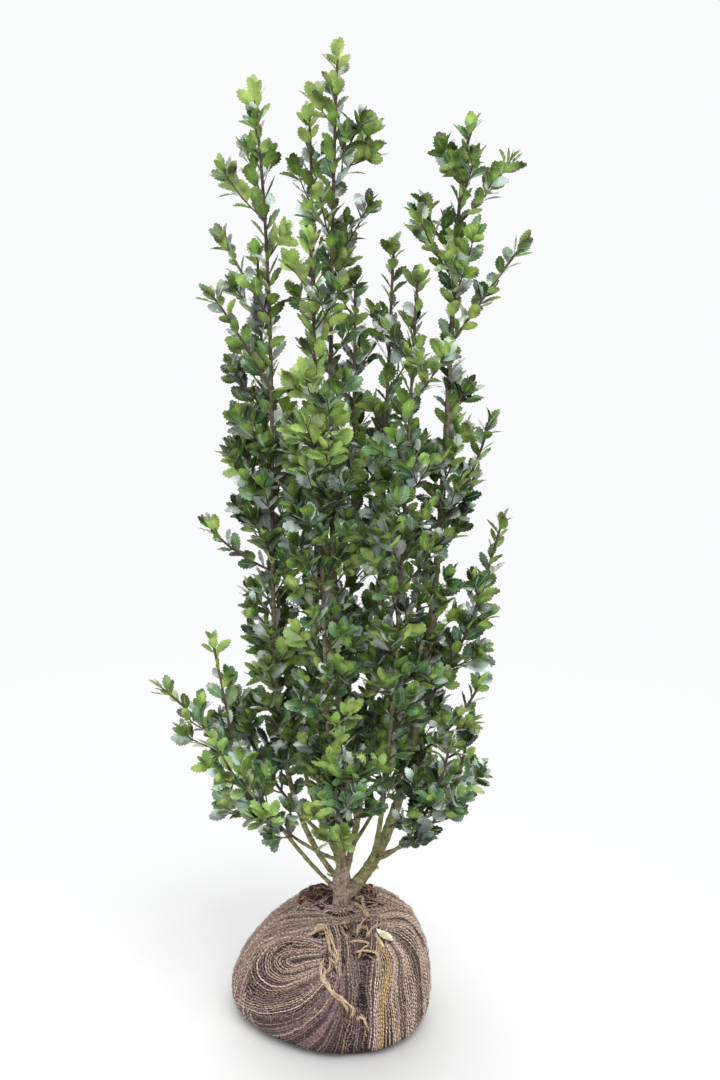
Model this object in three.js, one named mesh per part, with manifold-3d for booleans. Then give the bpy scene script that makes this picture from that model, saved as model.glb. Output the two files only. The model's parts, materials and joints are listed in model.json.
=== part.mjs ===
// Meserve holly: a many-stemmed evergreen shrub, 1.64 m tall over its burlapped root ball.
// Millimetres, +Z up, +X to the right of the front view, +Y away from it.
// The origin is the centre of the root ball's flat underside.
//
// The crown is made by one rule. Each stem is one curve, a bare bough below and a leafy stem above,
// and a few bear long side shoots that are leafy all the way.
// Nodes follow each other up the leafy stem in a spiral, and each bears a twig or a leaf, as far as
// the space round its own stem goes.

import * as THREE from "three";
import { mergeVertices } from "three/addons/utils/BufferGeometryUtils.js";
import Module from "manifold-3d";

const wasm = await Module();
wasm.setup();

const UP = new THREE.Vector3(0, 0, 1);

// Gap left where one solid is cut by its neighbour
const CLEARANCE = 0.3;

// Root ball: [radius, height] outlines of its low left side and its full right side, and how far and
// how broadly it sags towards the front right
const BALL = {
  left: [[152, 0], [170, 14], [174, 42], [156, 88], [104, 150], [60, 172]],
  right: [[143, 0], [160, 14], [168, 46], [161, 124], [132, 172], [84, 184]],
  sag: { towards: THREE.MathUtils.degToRad(-62), share: 0.25, power: 3 },
  top: 182,
  seat: 46,
  outlineSteps: 11,
  sides: 28,
};

// Gathered folds of burlap beside the trunk: centre and half sizes
const FOLDS = [
  { name: "burlap_fold_left", centre: [-24, 34, 178], size: [36, 24, 24], lean: 0.3 },
  { name: "burlap_fold_right", centre: [66, 30, 186], size: [17, 17, 20], lean: -0.4 },
];

const FOLD_FACETS = [9, 6];

// Short trunk: [share of its height, radius] of its flared foot, its waist, the swelling under its
// fork and its top
const TRUNK = {
  foot: [20, 0, BALL.top + CLEARANCE],
  fork: [22, 2, 256],
  radii: [[0, 19], [0.35, 15.5], [0.8, 18], [1, 11]],
  sides: 12,
  rings: 6,
};

// Each stem is one curve: the bough up to the height where it enters the leaves, then the leafy stem.
// from names the limb that carries it and leaves is the height where it leaves that limb's middle.
// elbow, upper and tip shape the curve, girth is the bough's radius at its foot, and reach is how
// far side twigs go low, halfway and high on the leafy stem.
const STEMS = [
  {
    name: "right", from: "trunk", leaves: 198, elbow: [234, -6, 349],
    upper: [175, -8, 1363], tip: [226, -5, 1495], enters: 372, girth: 10.5, reach: [120, 135, 120],
  },
  {
    name: "centre", from: "trunk", leaves: 226, elbow: [30, -24, 583],
    upper: [-15, -10, 815], tip: [18, 10, 1603], enters: 392, girth: 8, reach: [100, 100, 110],
  },
  {
    name: "left", from: "trunk", leaves: 224, elbow: [-165, -12, 440],
    upper: [-49, -15, 880], tip: [-109, -15, 1548], enters: 372, girth: 5.6, reach: [45, 120, 100],
  },
  {
    name: "left_inner", from: "trunk", leaves: 236, elbow: [-45, 78, 420],
    upper: [-10, 75, 900], tip: [-28, 75, 1518], enters: 392, girth: 5.4, reach: [80, 90, 90],
  },
  {
    name: "right_back", from: "trunk", leaves: 214, elbow: [88, 80, 420],
    upper: [85, 62, 800], tip: [108, 70, 1310], enters: 392, girth: 6.5, reach: [100, 100, 90],
  },
  {
    name: "front", from: "trunk", leaves: 226, elbow: [-6, -95, 400],
    upper: [-4, -108, 850], tip: [-22, -110, 1330], enters: 388, girth: 5, reach: [95, 100, 80],
  },
  {
    name: "right_front", from: "right", leaves: 254, elbow: [104, -110, 380],
    upper: [118, -82, 800], tip: [142, -66, 1270], enters: 392, girth: 5, reach: [95, 100, 90],
  },
  {
    name: "back", from: "trunk", leaves: 232, elbow: [34, 150, 420],
    upper: [40, 165, 800], tip: [45, 150, 1255], enters: 390, girth: 6, reach: [95, 100, 90],
  },
  {
    name: "back_left", from: "left_inner", leaves: 278, elbow: [-92, 108, 430],
    upper: [-100, 122, 800], tip: [-118, 120, 1300], enters: 392, girth: 4.6, reach: [80, 110, 90],
  },
  {
    name: "low_left", from: "trunk", leaves: 204, elbow: [-95, -22, 320],
    upper: [-160, -34, 500], tip: [-262, -22, 575], enters: 345, girth: 4, reach: [80, 90, 45],
  },
  {
    name: "low_left_front", from: "front", leaves: 278, elbow: [-55, -100, 340],
    upper: [-130, -146, 430], tip: [-180, -160, 545], enters: 345, girth: 3.4, reach: [75, 90, 45],
  },
  {
    name: "low_front", from: "front", leaves: 292, elbow: [26, -110, 330],
    upper: [34, -164, 430], tip: [22, -190, 560], enters: 345, girth: 3.4, reach: [75, 90, 45],
  },
  {
    name: "low_right_front", from: "right", leaves: 268, elbow: [120, -96, 320],
    upper: [176, -136, 410], tip: [196, -156, 535], enters: 345, girth: 3.6, reach: [75, 90, 45],
  },
  {
    name: "low_right", from: "right", leaves: 276, elbow: [150, 4, 292],
    upper: [216, 14, 335], tip: [236, 16, 480], enters: 322, girth: 3.6, reach: [65, 75, 40],
  },
  {
    name: "low_back_right", from: "right_back", leaves: 282, elbow: [92, 110, 330],
    upper: [158, 154, 430], tip: [176, 168, 555], enters: 345, girth: 3.6, reach: [75, 90, 45],
  },
  {
    name: "low_back", from: "back", leaves: 302, elbow: [4, 140, 340],
    upper: [-8, 200, 430], tip: [-14, 204, 560], enters: 352, girth: 3.4, reach: [75, 90, 45],
  },
  {
    name: "low_back_left", from: "left_inner", leaves: 292, elbow: [-90, 96, 330],
    upper: [-155, 140, 430], tip: [-182, 150, 545], enters: 345, girth: 3.6, reach: [75, 90, 45],
  },
];

// Side shoots: leafy from their foot, and part of the mass of the stem that carries them
const SHOOTS = [
  {
    name: "right_low", from: "right", leaves: 545, elbow: [235, -8, 640],
    upper: [262, -12, 790], tip: [286, -10, 870], girth: 3.6, reach: [50, 55, 40],
  },
  {
    name: "right_middle", from: "right", leaves: 862, elbow: [222, -6, 915],
    upper: [248, -10, 980], tip: [262, -10, 1035], girth: 3, reach: [50, 50, 40],
  },
  {
    name: "right_top", from: "right", leaves: 1165, elbow: [245, -4, 1230],
    upper: [285, -2, 1290], tip: [308, 0, 1316], girth: 3, reach: [50, 50, 40],
  },
  {
    name: "left_low", from: "left", leaves: 790, elbow: [-146, -26, 818],
    upper: [-172, -32, 846], tip: [-190, -34, 866], girth: 2.8, reach: [40, 40, 40],
  },
  {
    name: "left_middle", from: "left", leaves: 1090, elbow: [-130, -18, 1160],
    upper: [-160, -22, 1220], tip: [-180, -20, 1240], girth: 2.8, reach: [45, 45, 40],
  },
  {
    name: "left_top", from: "left", leaves: 1205, elbow: [-130, -14, 1270],
    upper: [-150, -12, 1306], tip: [-162, -10, 1326], girth: 2.6, reach: [40, 40, 40],
  },
];

const BOUGH = { sides: 6, rings: 3, endShare: 0.8 };

// Leafy stem: one node in two of its leaf spiral, and the leader at its top with short twigs or none
const STEM = {
  sides: 5,
  ringEvery: 170,
  fewestRings: 3,
  tipRadius: 2.4,
  nodeSpacing: 30,
  spiral: 4 / 5,
  leafEvery: 4,
  leader: 140,
};

// Side twigs and how their leaves stand on them. They are shorter than the reach by as much as their
// leaves are longer than life.
const TWIG = {
  fork: THREE.MathUtils.degToRad(48),
  rise: 0.75,
  lengths: [0.75, 1.15],
  shortest: 40,
  overhang: 16,
  radius: 2.8,
  tipRadius: 1.6,
  ofStem: 0.6,
  sides: 3,
  firstLeaf: 28,
  leafSpacing: 32,
  spiral: 1 / 3,
};

// Share of its length that a twig or leaf without room keeps at each new try
const SHRINK = 0.85;

// Leaves: larger than life, as each stands for a few
const LEAF = {
  length: 82,
  width: 56,
  sizes: [0.62, 1.1],
  tuftSizes: [0.3, 0.52],
  variety: 0.18,
  thickness: 3,
  fold: 4,
  droop: 5,
  sunk: 1,
  fork: THREE.MathUtils.degToRad(55),
  tuft: THREE.MathUtils.degToRad(25),
  roll: 1.6,
};

// Distance that leaves and twigs keep from the next mass's space and from bare limbs, and how low they go
const KEEP_CLEAR = { space: 4, limb: 4, lowest: 215 };

// Straight pieces that a stem's curve is measured by
const CHORDS = 28;

const LOOKS = {
  burlap: { color: 0x6b5a55, roughness: 0.95, metalness: 0 },
  trunk: { color: 0x82796c, roughness: 0.85, metalness: 0 },
  bough: { color: 0x6f7350, roughness: 0.8, metalness: 0 },
  foliage: { color: 0x2f4f2c, roughness: 0.45, metalness: 0 },
};

// Repeatable chance between 0 and 1 from three counters
function chance(stem, place, use) {
  const wave = Math.sin(stem * 127.1 + place * 311.7 + use * 74.7) * 43758.5453;
  return wave - Math.floor(wave);
}

function weld(geometry) {
  const bare = geometry.clone();
  bare.deleteAttribute("normal");
  bare.deleteAttribute("uv");
  return mergeVertices(bare, 1e-4);
}

// Copy of a welded blank with every point moved by a rule
function reshape(blank, rule) {
  const shaped = blank.clone();
  const points = shaped.getAttribute("position");
  const point = new THREE.Vector3();
  for (let i = 0; i < points.count; i += 1) {
    rule(point.fromBufferAttribute(points, i));
    points.setXYZ(i, point.x, point.y, point.z);
  }
  return shaped;
}

function toSolid(geometry) {
  return new wasm.Manifold(new wasm.Mesh({
    numProp: 3,
    vertProperties: new Float32Array(geometry.getAttribute("position").array),
    triVerts: new Uint32Array(geometry.getIndex().array),
  }));
}

function toGeometry(solid) {
  const mesh = solid.getMesh();
  const geometry = new THREE.BufferGeometry();
  geometry.setAttribute("position", new THREE.BufferAttribute(mesh.vertProperties, 3));
  geometry.setIndex(new THREE.BufferAttribute(mesh.triVerts, 1));
  geometry.computeVertexNormals();
  return geometry;
}

// The largest body of a solid: drops loose scraps and the shells of sealed hollows
function mainBody(solid) {
  return solid.decompose().reduce((best, piece) => (piece.volume() > best.volume() ? piece : best));
}

// Round blanks along Y, bent later into limbs, stems and twigs
function roundBlank(sides, rings) {
  return weld(new THREE.CylinderGeometry(1, 1, 1, sides, rings));
}

// Place on a limb's curve: its tangent and two directions across it, of which one is level
function frameAt(curve, share) {
  const tangent = curve.getTangentAt(share);
  const across = curve.getPointAt(1).sub(curve.getPointAt(0)).setZ(0).cross(UP);
  across.addScaledVector(tangent, -across.dot(tangent)).normalize();
  const outward = new THREE.Vector3().crossVectors(across, tangent);
  return { root: curve.getPointAt(share), tangent, across, outward };
}

// Round limb along a stretch of a curve, its radius given by a rule of the share along it
function limb(curve, from, to, radiusAt, sides, rings) {
  return reshape(roundBlank(sides, rings), (point) => {
    const share = point.y + 0.5;
    const radius = radiusAt(share);
    const { root, across, outward } = frameAt(curve, THREE.MathUtils.lerp(from, to, share));
    const { x, z } = point;
    point.copy(root).addScaledVector(across, x * radius).addScaledVector(outward, z * radius);
  });
}

const taper = (start, end) => (share) => THREE.MathUtils.lerp(start, end, share);

function ballOutline(side) {
  const points = [...side, [BALL.seat, BALL.top]].map((place) => new THREE.Vector2(...place));
  return new THREE.SplineCurve(points).getPoints(BALL.outlineSteps);
}

// Share by which the ball is wider in a direction, given by a point of a flat disc of radius 1
function sagAt(point) {
  const { towards, share, power } = BALL.sag;
  const facing = Math.max(0, point.x * Math.cos(towards) + point.y * Math.sin(towards));
  return 1 + share * facing ** power;
}

// Root ball: an outline that turns from the left one to the right one round the ball
function ballGeometry() {
  const left = ballOutline(BALL.left);
  const right = ballOutline(BALL.right);
  const wall = left.map((_, step) => new THREE.Vector2(1, step));
  const [foot, rim] = [new THREE.Vector2(0, 0), new THREE.Vector2(0, BALL.outlineSteps)];
  const drum = new THREE.LatheGeometry([foot, ...wall, rim], BALL.sides).rotateX(Math.PI / 2);
  return reshape(weld(drum), (point) => {
    const step = Math.round(point.z);
    const outline = left[step].clone().lerp(right[step], (1 + point.x) / 2);
    const radius = outline.x * sagAt(point);
    point.set(point.x * radius, point.y * radius, outline.y);
  });
}

// Folds of burlap that stand on the ball beside the trunk, cut to both
function foldGeometry(fold, ball, trunk) {
  const lump = reshape(weld(new THREE.SphereGeometry(1, ...FOLD_FACETS)), (point) => {
    point.multiply(new THREE.Vector3(...fold.size));
    point.applyAxisAngle(UP, fold.lean).add(new THREE.Vector3(...fold.centre));
  });
  return toGeometry(mainBody(toSolid(lump).subtract(ball).subtract(trunk)));
}

function trunkCurve(extra) {
  const foot = new THREE.Vector3(...TRUNK.foot);
  const fork = new THREE.Vector3(...TRUNK.fork);
  foot.z -= extra;
  fork.z += extra;
  const upright = foot.clone().setZ((foot.z + fork.z) / 2);
  return new THREE.QuadraticBezierCurve3(foot, upright, fork);
}

// Trunk, made larger on all sides where it is to cut what it carries
function trunkGeometry(extra) {
  const radii = new THREE.SplineCurve(TRUNK.radii.map((place) => new THREE.Vector2(...place)));
  const radiusAt = (share) => radii.getPoint(share).y + extra;
  return limb(trunkCurve(extra), 0, 1, radiusAt, TRUNK.sides, TRUNK.rings);
}

// Where along a rising curve it passes a height
function shareAtHeight(curve, height) {
  let low = 0;
  let high = 1;
  while (high - low > 1e-7) {
    const middle = (low + high) / 2;
    if (curve.getPointAt(middle).z < height) low = middle;
    else high = middle;
  }
  return low;
}

function growStem(stem, index) {
  const carriers = [{ name: "trunk", curve: trunkCurve(0) }, ...stems];
  const carrier = carriers.find(({ name }) => name === stem.from);
  const foot = carrier.curve.getPointAt(shareAtHeight(carrier.curve, stem.leaves));
  const bends = [stem.elbow, stem.upper, stem.tip].map((place) => new THREE.Vector3(...place));
  const curve = new THREE.CubicBezierCurve3(foot, ...bends);
  const length = curve.getLength();
  const grown = { ...stem, index, curve, length, chords: chords(curve) };
  if (!stem.enters) return { ...grown, start: 0, pieces: carrier.pieces };
  const entry = shareAtHeight(curve, stem.enters);
  return { ...grown, entry, start: entry + CLEARANCE / length, pieces: [] };
}

const stems = [];
[...STEMS, ...SHOOTS].forEach((stem, index) => stems.push(growStem(stem, index)));

// Straight pieces of a curve, to measure distances from
function chords(curve) {
  const points = curve.getSpacedPoints(CHORDS);
  return points.slice(1).map((end, i) => new THREE.Line3(points[i], end));
}

function distanceTo(lines, point) {
  const nearest = new THREE.Vector3();
  return Math.min(...lines.map((line) => line.closestPointToPoint(point, true, nearest).distanceTo(point)));
}

// A mass's own space: the points nearer to its stem than to any other stem or bare limb
function inOwnSpace(stem, point) {
  if (point.z < KEEP_CLEAR.lowest) return false;
  const own = distanceTo(stem.chords, point);
  return stems.every((other) => {
    if (other === stem) return true;
    const away = distanceTo(other.chords, point);
    return away > own + KEEP_CLEAR.space && away > other.girth + KEEP_CLEAR.limb;
  });
}

// Bough: from the limb that carries it to the height where its leaves begin
function boughSolid(stem, extra) {
  const radiusAt = taper(stem.girth + extra, stem.girth * BOUGH.endShare + extra);
  return toSolid(limb(stem.curve, 0, stem.entry, radiusAt, BOUGH.sides, BOUGH.rings));
}

// Blade with a raised fold on both sides of its midrib and a drooping point
const leafBlank = weld(new THREE.OctahedronGeometry(1, 0));

function leafSolid(root, along, face, size) {
  const side = new THREE.Vector3().crossVectors(along, face);
  const half = LEAF.length * size / 2;
  return toSolid(reshape(leafBlank, (point) => {
    const { x, y, z } = point;
    const lift = z * LEAF.thickness / 2 + Math.abs(x) * LEAF.fold - Math.max(y, 0) * LEAF.droop;
    point.copy(root).addScaledVector(along, half * (1 + y) - LEAF.sunk);
    point.addScaledVector(side, x * LEAF.width * size / 2).addScaledVector(face, lift);
  }));
}

// Direction that leaves a limb at an angle from its tangent, out of the middle of one of its sides
function branchDirection(frame, turns, sides, angle) {
  const turn = (turns + 0.5 / sides) * 2 * Math.PI;
  const direction = frame.tangent.clone().multiplyScalar(Math.cos(angle));
  direction.addScaledVector(frame.across, Math.sin(angle) * Math.sin(turn));
  return direction.addScaledVector(frame.outward, Math.sin(angle) * Math.cos(turn));
}

// Whether two solids meet, looked at closely only where their boxes do
function meet(one, other) {
  const [a, b] = [one.boundingBox(), other.boundingBox()];
  const boxesMeet = [0, 1, 2].every((axis) => a.min[axis] < b.max[axis] && b.min[axis] < a.max[axis]);
  return boxesMeet && one.intersect(other).volume() > 0;
}

// Leaf on a limb, facing the limb's tip and the sky with some roll. It is made smaller until its whole
// outline has room and it meets nothing but its own limb, and is left out where even that fails.
function placeLeaf(stem, carrier, frame, along, place, sizes) {
  const face = frame.tangent.clone().add(UP);
  face.addScaledVector(along, -face.dot(along)).normalize();
  face.applyAxisAngle(along, LEAF.roll * (chance(stem.index, place, 2) - 0.5));
  const side = new THREE.Vector3().crossVectors(along, face);
  const [smallest, largest] = sizes;
  const first = largest * (1 - LEAF.variety * chance(stem.index, place, 1));
  for (let size = first; size > smallest; size *= SHRINK) {
    const outline = [[0.5, 0.5], [0.5, -0.5], [1, 0]].map(([forward, across]) => frame.root.clone()
      .addScaledVector(along, LEAF.length * size * forward)
      .addScaledVector(side, LEAF.width * size * across));
    if (outline.every((point) => inOwnSpace(stem, point))) {
      const leaf = leafSolid(frame.root, along, face, size);
      if (!stem.pieces.some((piece) => piece !== carrier && meet(piece, leaf))) {
        stem.pieces.push(leaf);
        return true;
      }
    }
  }
  return false;
}

// How far twigs reach at a share of the leafy stem, through the stem's low, middle and high values
function reachAt(stem, share) {
  const [low, middle, high] = stem.reach;
  return share < 0.5
    ? THREE.MathUtils.lerp(low, middle, share * 2)
    : THREE.MathUtils.lerp(middle, high, share * 2 - 1);
}

// Twig that leaves the stem and rises, shortened until it keeps to the mass's own space
function growTwig(stem, frame, node, reach, stemRadius) {
  const direction = branchDirection(frame, node * STEM.spiral, STEM.sides, TWIG.fork);
  const heading = direction.clone().addScaledVector(UP, TWIG.rise).normalize();
  const course = direction.add(heading).normalize();
  const full = reach * THREE.MathUtils.lerp(...TWIG.lengths, chance(stem.index, node, 3)) - TWIG.overhang;
  for (let length = full; length >= TWIG.shortest; length *= SHRINK) {
    const end = frame.root.clone().addScaledVector(course, length);
    const leafTip = frame.root.clone().addScaledVector(course, length + LEAF.length * LEAF.sizes[0]);
    if (inOwnSpace(stem, end) && inOwnSpace(stem, leafTip)) {
      twigWithLeaves(stem, new THREE.LineCurve3(frame.root, end), node, stemRadius);
      return true;
    }
  }
  return false;
}

function twigWithLeaves(stem, curve, node, stemRadius) {
  const length = curve.getLength();
  const radius = Math.min(TWIG.radius, stemRadius * TWIG.ofStem);
  const twig = toSolid(limb(curve, 0, 1, taper(radius, Math.min(radius, TWIG.tipRadius)), TWIG.sides, 1));
  stem.pieces.push(twig);
  const end = frameAt(curve, 1 - LEAF.sunk / length);
  placeLeaf(stem, twig, end, end.tangent, node + 0.9, LEAF.sizes);
  let leaf = 0;
  for (let along = TWIG.firstLeaf; along < length - LEAF.sunk; along += TWIG.leafSpacing) {
    const frame = frameAt(curve, along / length);
    const direction = branchDirection(frame, leaf * TWIG.spiral, TWIG.sides, LEAF.fork);
    placeLeaf(stem, twig, frame, direction, node + leaf / 10, LEAF.sizes);
    leaf += 1;
  }
}

// Tuft of leaves round the stem's tip
function tipTuft(stem, body) {
  const end = frameAt(stem.curve, 1 - LEAF.sunk / stem.length);
  [0, 2, 4].forEach((leaf) => {
    const along = branchDirection(end, leaf / STEM.sides, STEM.sides, LEAF.tuft);
    placeLeaf(stem, body, end, along, -1 - leaf, LEAF.tuftSizes);
  });
}

// Leafy stem or shoot whose nodes bear a twig or a leaf in a rising spiral
function growLeafyStem(stem) {
  const leafy = stem.length * (1 - stem.start);
  const radiusAt = taper(stem.girth * BOUGH.endShare, STEM.tipRadius);
  const rings = Math.max(STEM.fewestRings, Math.round(leafy / STEM.ringEvery));
  const body = toSolid(limb(stem.curve, stem.start, 1, radiusAt, STEM.sides, rings));
  stem.pieces.push(body);
  tipTuft(stem, body);
  for (let node = 1; node * STEM.nodeSpacing < leafy - LEAF.length / 2; node += 1) {
    const share = node * STEM.nodeSpacing / leafy;
    const frame = frameAt(stem.curve, THREE.MathUtils.lerp(stem.start, 1, share));
    const reach = reachAt(stem, share) * Math.min(1, (1 - share) * leafy / STEM.leader);
    const bearsTwig = node % STEM.leafEvery > 0 && growTwig(stem, frame, node, reach, radiusAt(share));
    const along = branchDirection(frame, node * STEM.spiral, STEM.sides, LEAF.fork);
    if (!bearsTwig) placeLeaf(stem, body, frame, along, node, LEAF.sizes);
  }
}

function named(name, geometry, look) {
  const mesh = new THREE.Mesh(geometry, new THREE.MeshStandardMaterial(LOOKS[look]));
  mesh.name = name;
  return mesh;
}

function rootBall() {
  const group = new THREE.Group();
  const geometry = ballGeometry();
  const grow = (point) => point.addScaledVector(point.clone().normalize(), CLEARANCE);
  const ball = toSolid(reshape(geometry, grow));
  const trunk = toSolid(trunkGeometry(CLEARANCE));
  group.add(named("root_ball", geometry, "burlap"));
  FOLDS.forEach((fold) => group.add(named(fold.name, foldGeometry(fold, ball, trunk), "burlap")));
  return group;
}

// Trunk and boughs, each bough cut clear of the trunk and of the boughs before it
function limbs() {
  const group = new THREE.Group();
  group.add(named("trunk", trunkGeometry(0), "trunk"));
  let taken = toSolid(trunkGeometry(CLEARANCE));
  stems.filter(({ enters }) => enters).forEach((stem) => {
    const bough = mainBody(boughSolid(stem, 0).subtract(taken));
    group.add(named(`bough_${stem.name}`, toGeometry(bough), "bough"));
    taken = taken.add(boughSolid(stem, CLEARANCE));
  });
  return group;
}

// Masses: each stem's twigs and leaves, with those of its side shoots, fused to one body
function foliage() {
  const group = new THREE.Group();
  stems.forEach(growLeafyStem);
  stems.filter(({ enters }) => enters).forEach((stem) => {
    const mass = toGeometry(mainBody(wasm.Manifold.union(stem.pieces)));
    group.add(named(`foliage_${stem.name}`, mass, "foliage"));
  });
  return group;
}

const holly = new THREE.Group();
holly.add(rootBall(), limbs(), foliage());

export default holly;
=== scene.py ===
"""Meserve holly on its burlapped root ball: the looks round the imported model, in metres.

The crown grows by the same rule as the model's masses. Each stem is one curve, a bare bough below and
a leafy stem above. Nodes follow each other up the leafy stem in a spiral and bear twigs and leaves, as
far as the space round its own stem goes. Here the nodes stand twice as close, the twigs are bent and
forked, and every leaf has its life size.
"""

import json
import math
from collections import namedtuple

import bpy
import numpy as np
from mathutils import Matrix, Vector, noise
from mathutils.bvhtree import BVHTree

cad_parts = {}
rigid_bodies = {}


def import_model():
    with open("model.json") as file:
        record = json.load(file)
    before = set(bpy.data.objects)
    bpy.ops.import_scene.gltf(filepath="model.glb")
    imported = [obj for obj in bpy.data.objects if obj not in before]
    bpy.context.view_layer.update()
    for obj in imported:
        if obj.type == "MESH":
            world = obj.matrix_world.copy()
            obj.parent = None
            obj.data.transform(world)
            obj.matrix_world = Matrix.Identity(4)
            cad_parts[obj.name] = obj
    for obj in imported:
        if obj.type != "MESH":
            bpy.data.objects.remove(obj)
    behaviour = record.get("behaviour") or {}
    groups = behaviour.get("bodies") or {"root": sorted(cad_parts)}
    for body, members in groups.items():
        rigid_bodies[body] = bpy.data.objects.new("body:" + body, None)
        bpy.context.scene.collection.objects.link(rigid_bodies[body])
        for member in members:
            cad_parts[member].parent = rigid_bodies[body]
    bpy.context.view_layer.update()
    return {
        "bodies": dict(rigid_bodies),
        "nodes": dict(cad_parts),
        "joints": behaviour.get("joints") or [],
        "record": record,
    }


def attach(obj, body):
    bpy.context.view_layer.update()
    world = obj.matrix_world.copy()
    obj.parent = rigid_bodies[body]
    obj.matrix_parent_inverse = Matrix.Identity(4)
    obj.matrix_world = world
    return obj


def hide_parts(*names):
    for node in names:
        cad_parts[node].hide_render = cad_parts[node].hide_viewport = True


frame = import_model()

# Without a seed of its own, vector noise would differ from run to run
noise.seed_set(4)

UP = np.array([0.0, 0.0, 1.0])

# The steep wave whose fractions serve as chance
CHANCE = {"turns": (127.1, 311.7, 74.7), "height": 43758.5453}

# The photograph's size in pixels, and the camera that took it
PHOTO = {"width": 720, "height": 1080}
CAMERA = {"place": (0.053, -2.42, 1.408), "tilt": math.radians(13.2), "lens": 50, "sensor": 36}

# Studio: the tone of its backdrop, its pale floor, and its soft lights with the way that each shines
BACKDROP = (0.955, 0.962, 0.968)
FLOOR = {
    "radius": 60, "sides": 96, "colour": (0.60, 0.60, 0.60), "roughness": 0.6, "fade_from": 0.4,
    "fade_to": 8,
    "fade": ((0, (0, 0, 0)), (0.07, (0.8, 0.8, 0.8)), (0.3, (1, 1, 1))),
}
Light = namedtuple("Light", "name towards angle power")
LIGHTS = (
    Light("key", (-0.35, 0.60, -1.0), 0.7, 1.75),
    Light("back", (0.15, -0.80, -0.9), 1.0, 1.3),
    Light("fill", (0.60, 0.50, -0.6), 1.6, 0.5),
)

# Short trunk: its foot on the ball, its fork, and [share of its height, radius] of its foot, its waist,
# the swelling under its fork and its top. Its bark is slimmer than the model's flared solid.
TRUNK = {
    "foot": (0.020, 0.0, 0.1823),
    "fork": (0.022, 0.002, 0.256),
    "radii": ((0, 0.0162), (0.35, 0.0142), (0.8, 0.0162), (1, 0.0105)),
    "points": 30,
}

# carrier is the limb that the stem leaves at the height leaves. elbow, upper and tip shape its curve,
# enters is the height where its leaves begin, girth is its radius at its foot, and reach is how far
# side twigs go low, halfway and high on the leafy stem.
Stem = namedtuple("Stem", "name carrier leaves elbow upper tip enters girth reach")
STEMS = (
    Stem("right", "trunk", 0.198, (0.234, -0.006, 0.349), (0.175, -0.008, 1.363),
         (0.226, -0.005, 1.495), 0.372, 0.0105, (0.12, 0.135, 0.12)),
    Stem("centre", "trunk", 0.226, (0.03, -0.024, 0.583), (-0.015, -0.01, 0.815),
         (0.018, 0.01, 1.603), 0.392, 0.008, (0.1, 0.1, 0.11)),
    Stem("left", "trunk", 0.224, (-0.165, -0.012, 0.44), (-0.049, -0.015, 0.88),
         (-0.109, -0.015, 1.548), 0.372, 0.0056, (0.045, 0.12, 0.1)),
    Stem("left_inner", "trunk", 0.236, (-0.045, 0.078, 0.42), (-0.01, 0.075, 0.9),
         (-0.028, 0.075, 1.518), 0.392, 0.0054, (0.08, 0.09, 0.09)),
    Stem("right_back", "trunk", 0.214, (0.088, 0.08, 0.42), (0.085, 0.062, 0.8),
         (0.108, 0.07, 1.31), 0.392, 0.0065, (0.1, 0.1, 0.09)),
    Stem("front", "trunk", 0.226, (-0.006, -0.095, 0.4), (-0.004, -0.108, 0.85),
         (-0.022, -0.11, 1.33), 0.388, 0.005, (0.095, 0.1, 0.08)),
    Stem("right_front", "right", 0.254, (0.104, -0.11, 0.38), (0.118, -0.082, 0.8),
         (0.142, -0.066, 1.27), 0.392, 0.005, (0.095, 0.1, 0.09)),
    Stem("back", "trunk", 0.232, (0.034, 0.15, 0.42), (0.04, 0.165, 0.8),
         (0.045, 0.15, 1.255), 0.39, 0.006, (0.095, 0.1, 0.09)),
    Stem("back_left", "left_inner", 0.278, (-0.092, 0.108, 0.43), (-0.1, 0.122, 0.8),
         (-0.118, 0.12, 1.3), 0.392, 0.0046, (0.08, 0.11, 0.09)),
    Stem("low_left", "trunk", 0.204, (-0.095, -0.022, 0.32), (-0.16, -0.034, 0.5),
         (-0.262, -0.022, 0.575), 0.345, 0.004, (0.08, 0.09, 0.045)),
    Stem("low_left_front", "front", 0.278, (-0.055, -0.1, 0.34), (-0.13, -0.146, 0.43),
         (-0.18, -0.16, 0.545), 0.345, 0.0034, (0.075, 0.09, 0.045)),
    Stem("low_front", "front", 0.292, (0.026, -0.11, 0.33), (0.034, -0.164, 0.43),
         (0.022, -0.19, 0.56), 0.345, 0.0034, (0.075, 0.09, 0.045)),
    Stem("low_right_front", "right", 0.268, (0.12, -0.096, 0.32), (0.176, -0.136, 0.41),
         (0.196, -0.156, 0.535), 0.345, 0.0036, (0.075, 0.09, 0.045)),
    Stem("low_right", "right", 0.276, (0.15, 0.004, 0.292), (0.216, 0.014, 0.335),
         (0.236, 0.016, 0.48), 0.322, 0.0036, (0.065, 0.075, 0.04)),
    Stem("low_back_right", "right_back", 0.282, (0.092, 0.11, 0.33), (0.158, 0.154, 0.43),
         (0.176, 0.168, 0.555), 0.345, 0.0036, (0.075, 0.09, 0.045)),
    Stem("low_back", "back", 0.302, (0.004, 0.14, 0.34), (-0.008, 0.2, 0.43),
         (-0.014, 0.204, 0.56), 0.352, 0.0034, (0.075, 0.09, 0.045)),
    Stem("low_back_left", "left_inner", 0.292, (-0.09, 0.096, 0.33), (-0.155, 0.14, 0.43),
         (-0.182, 0.15, 0.545), 0.345, 0.0036, (0.075, 0.09, 0.045)),
)

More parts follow.
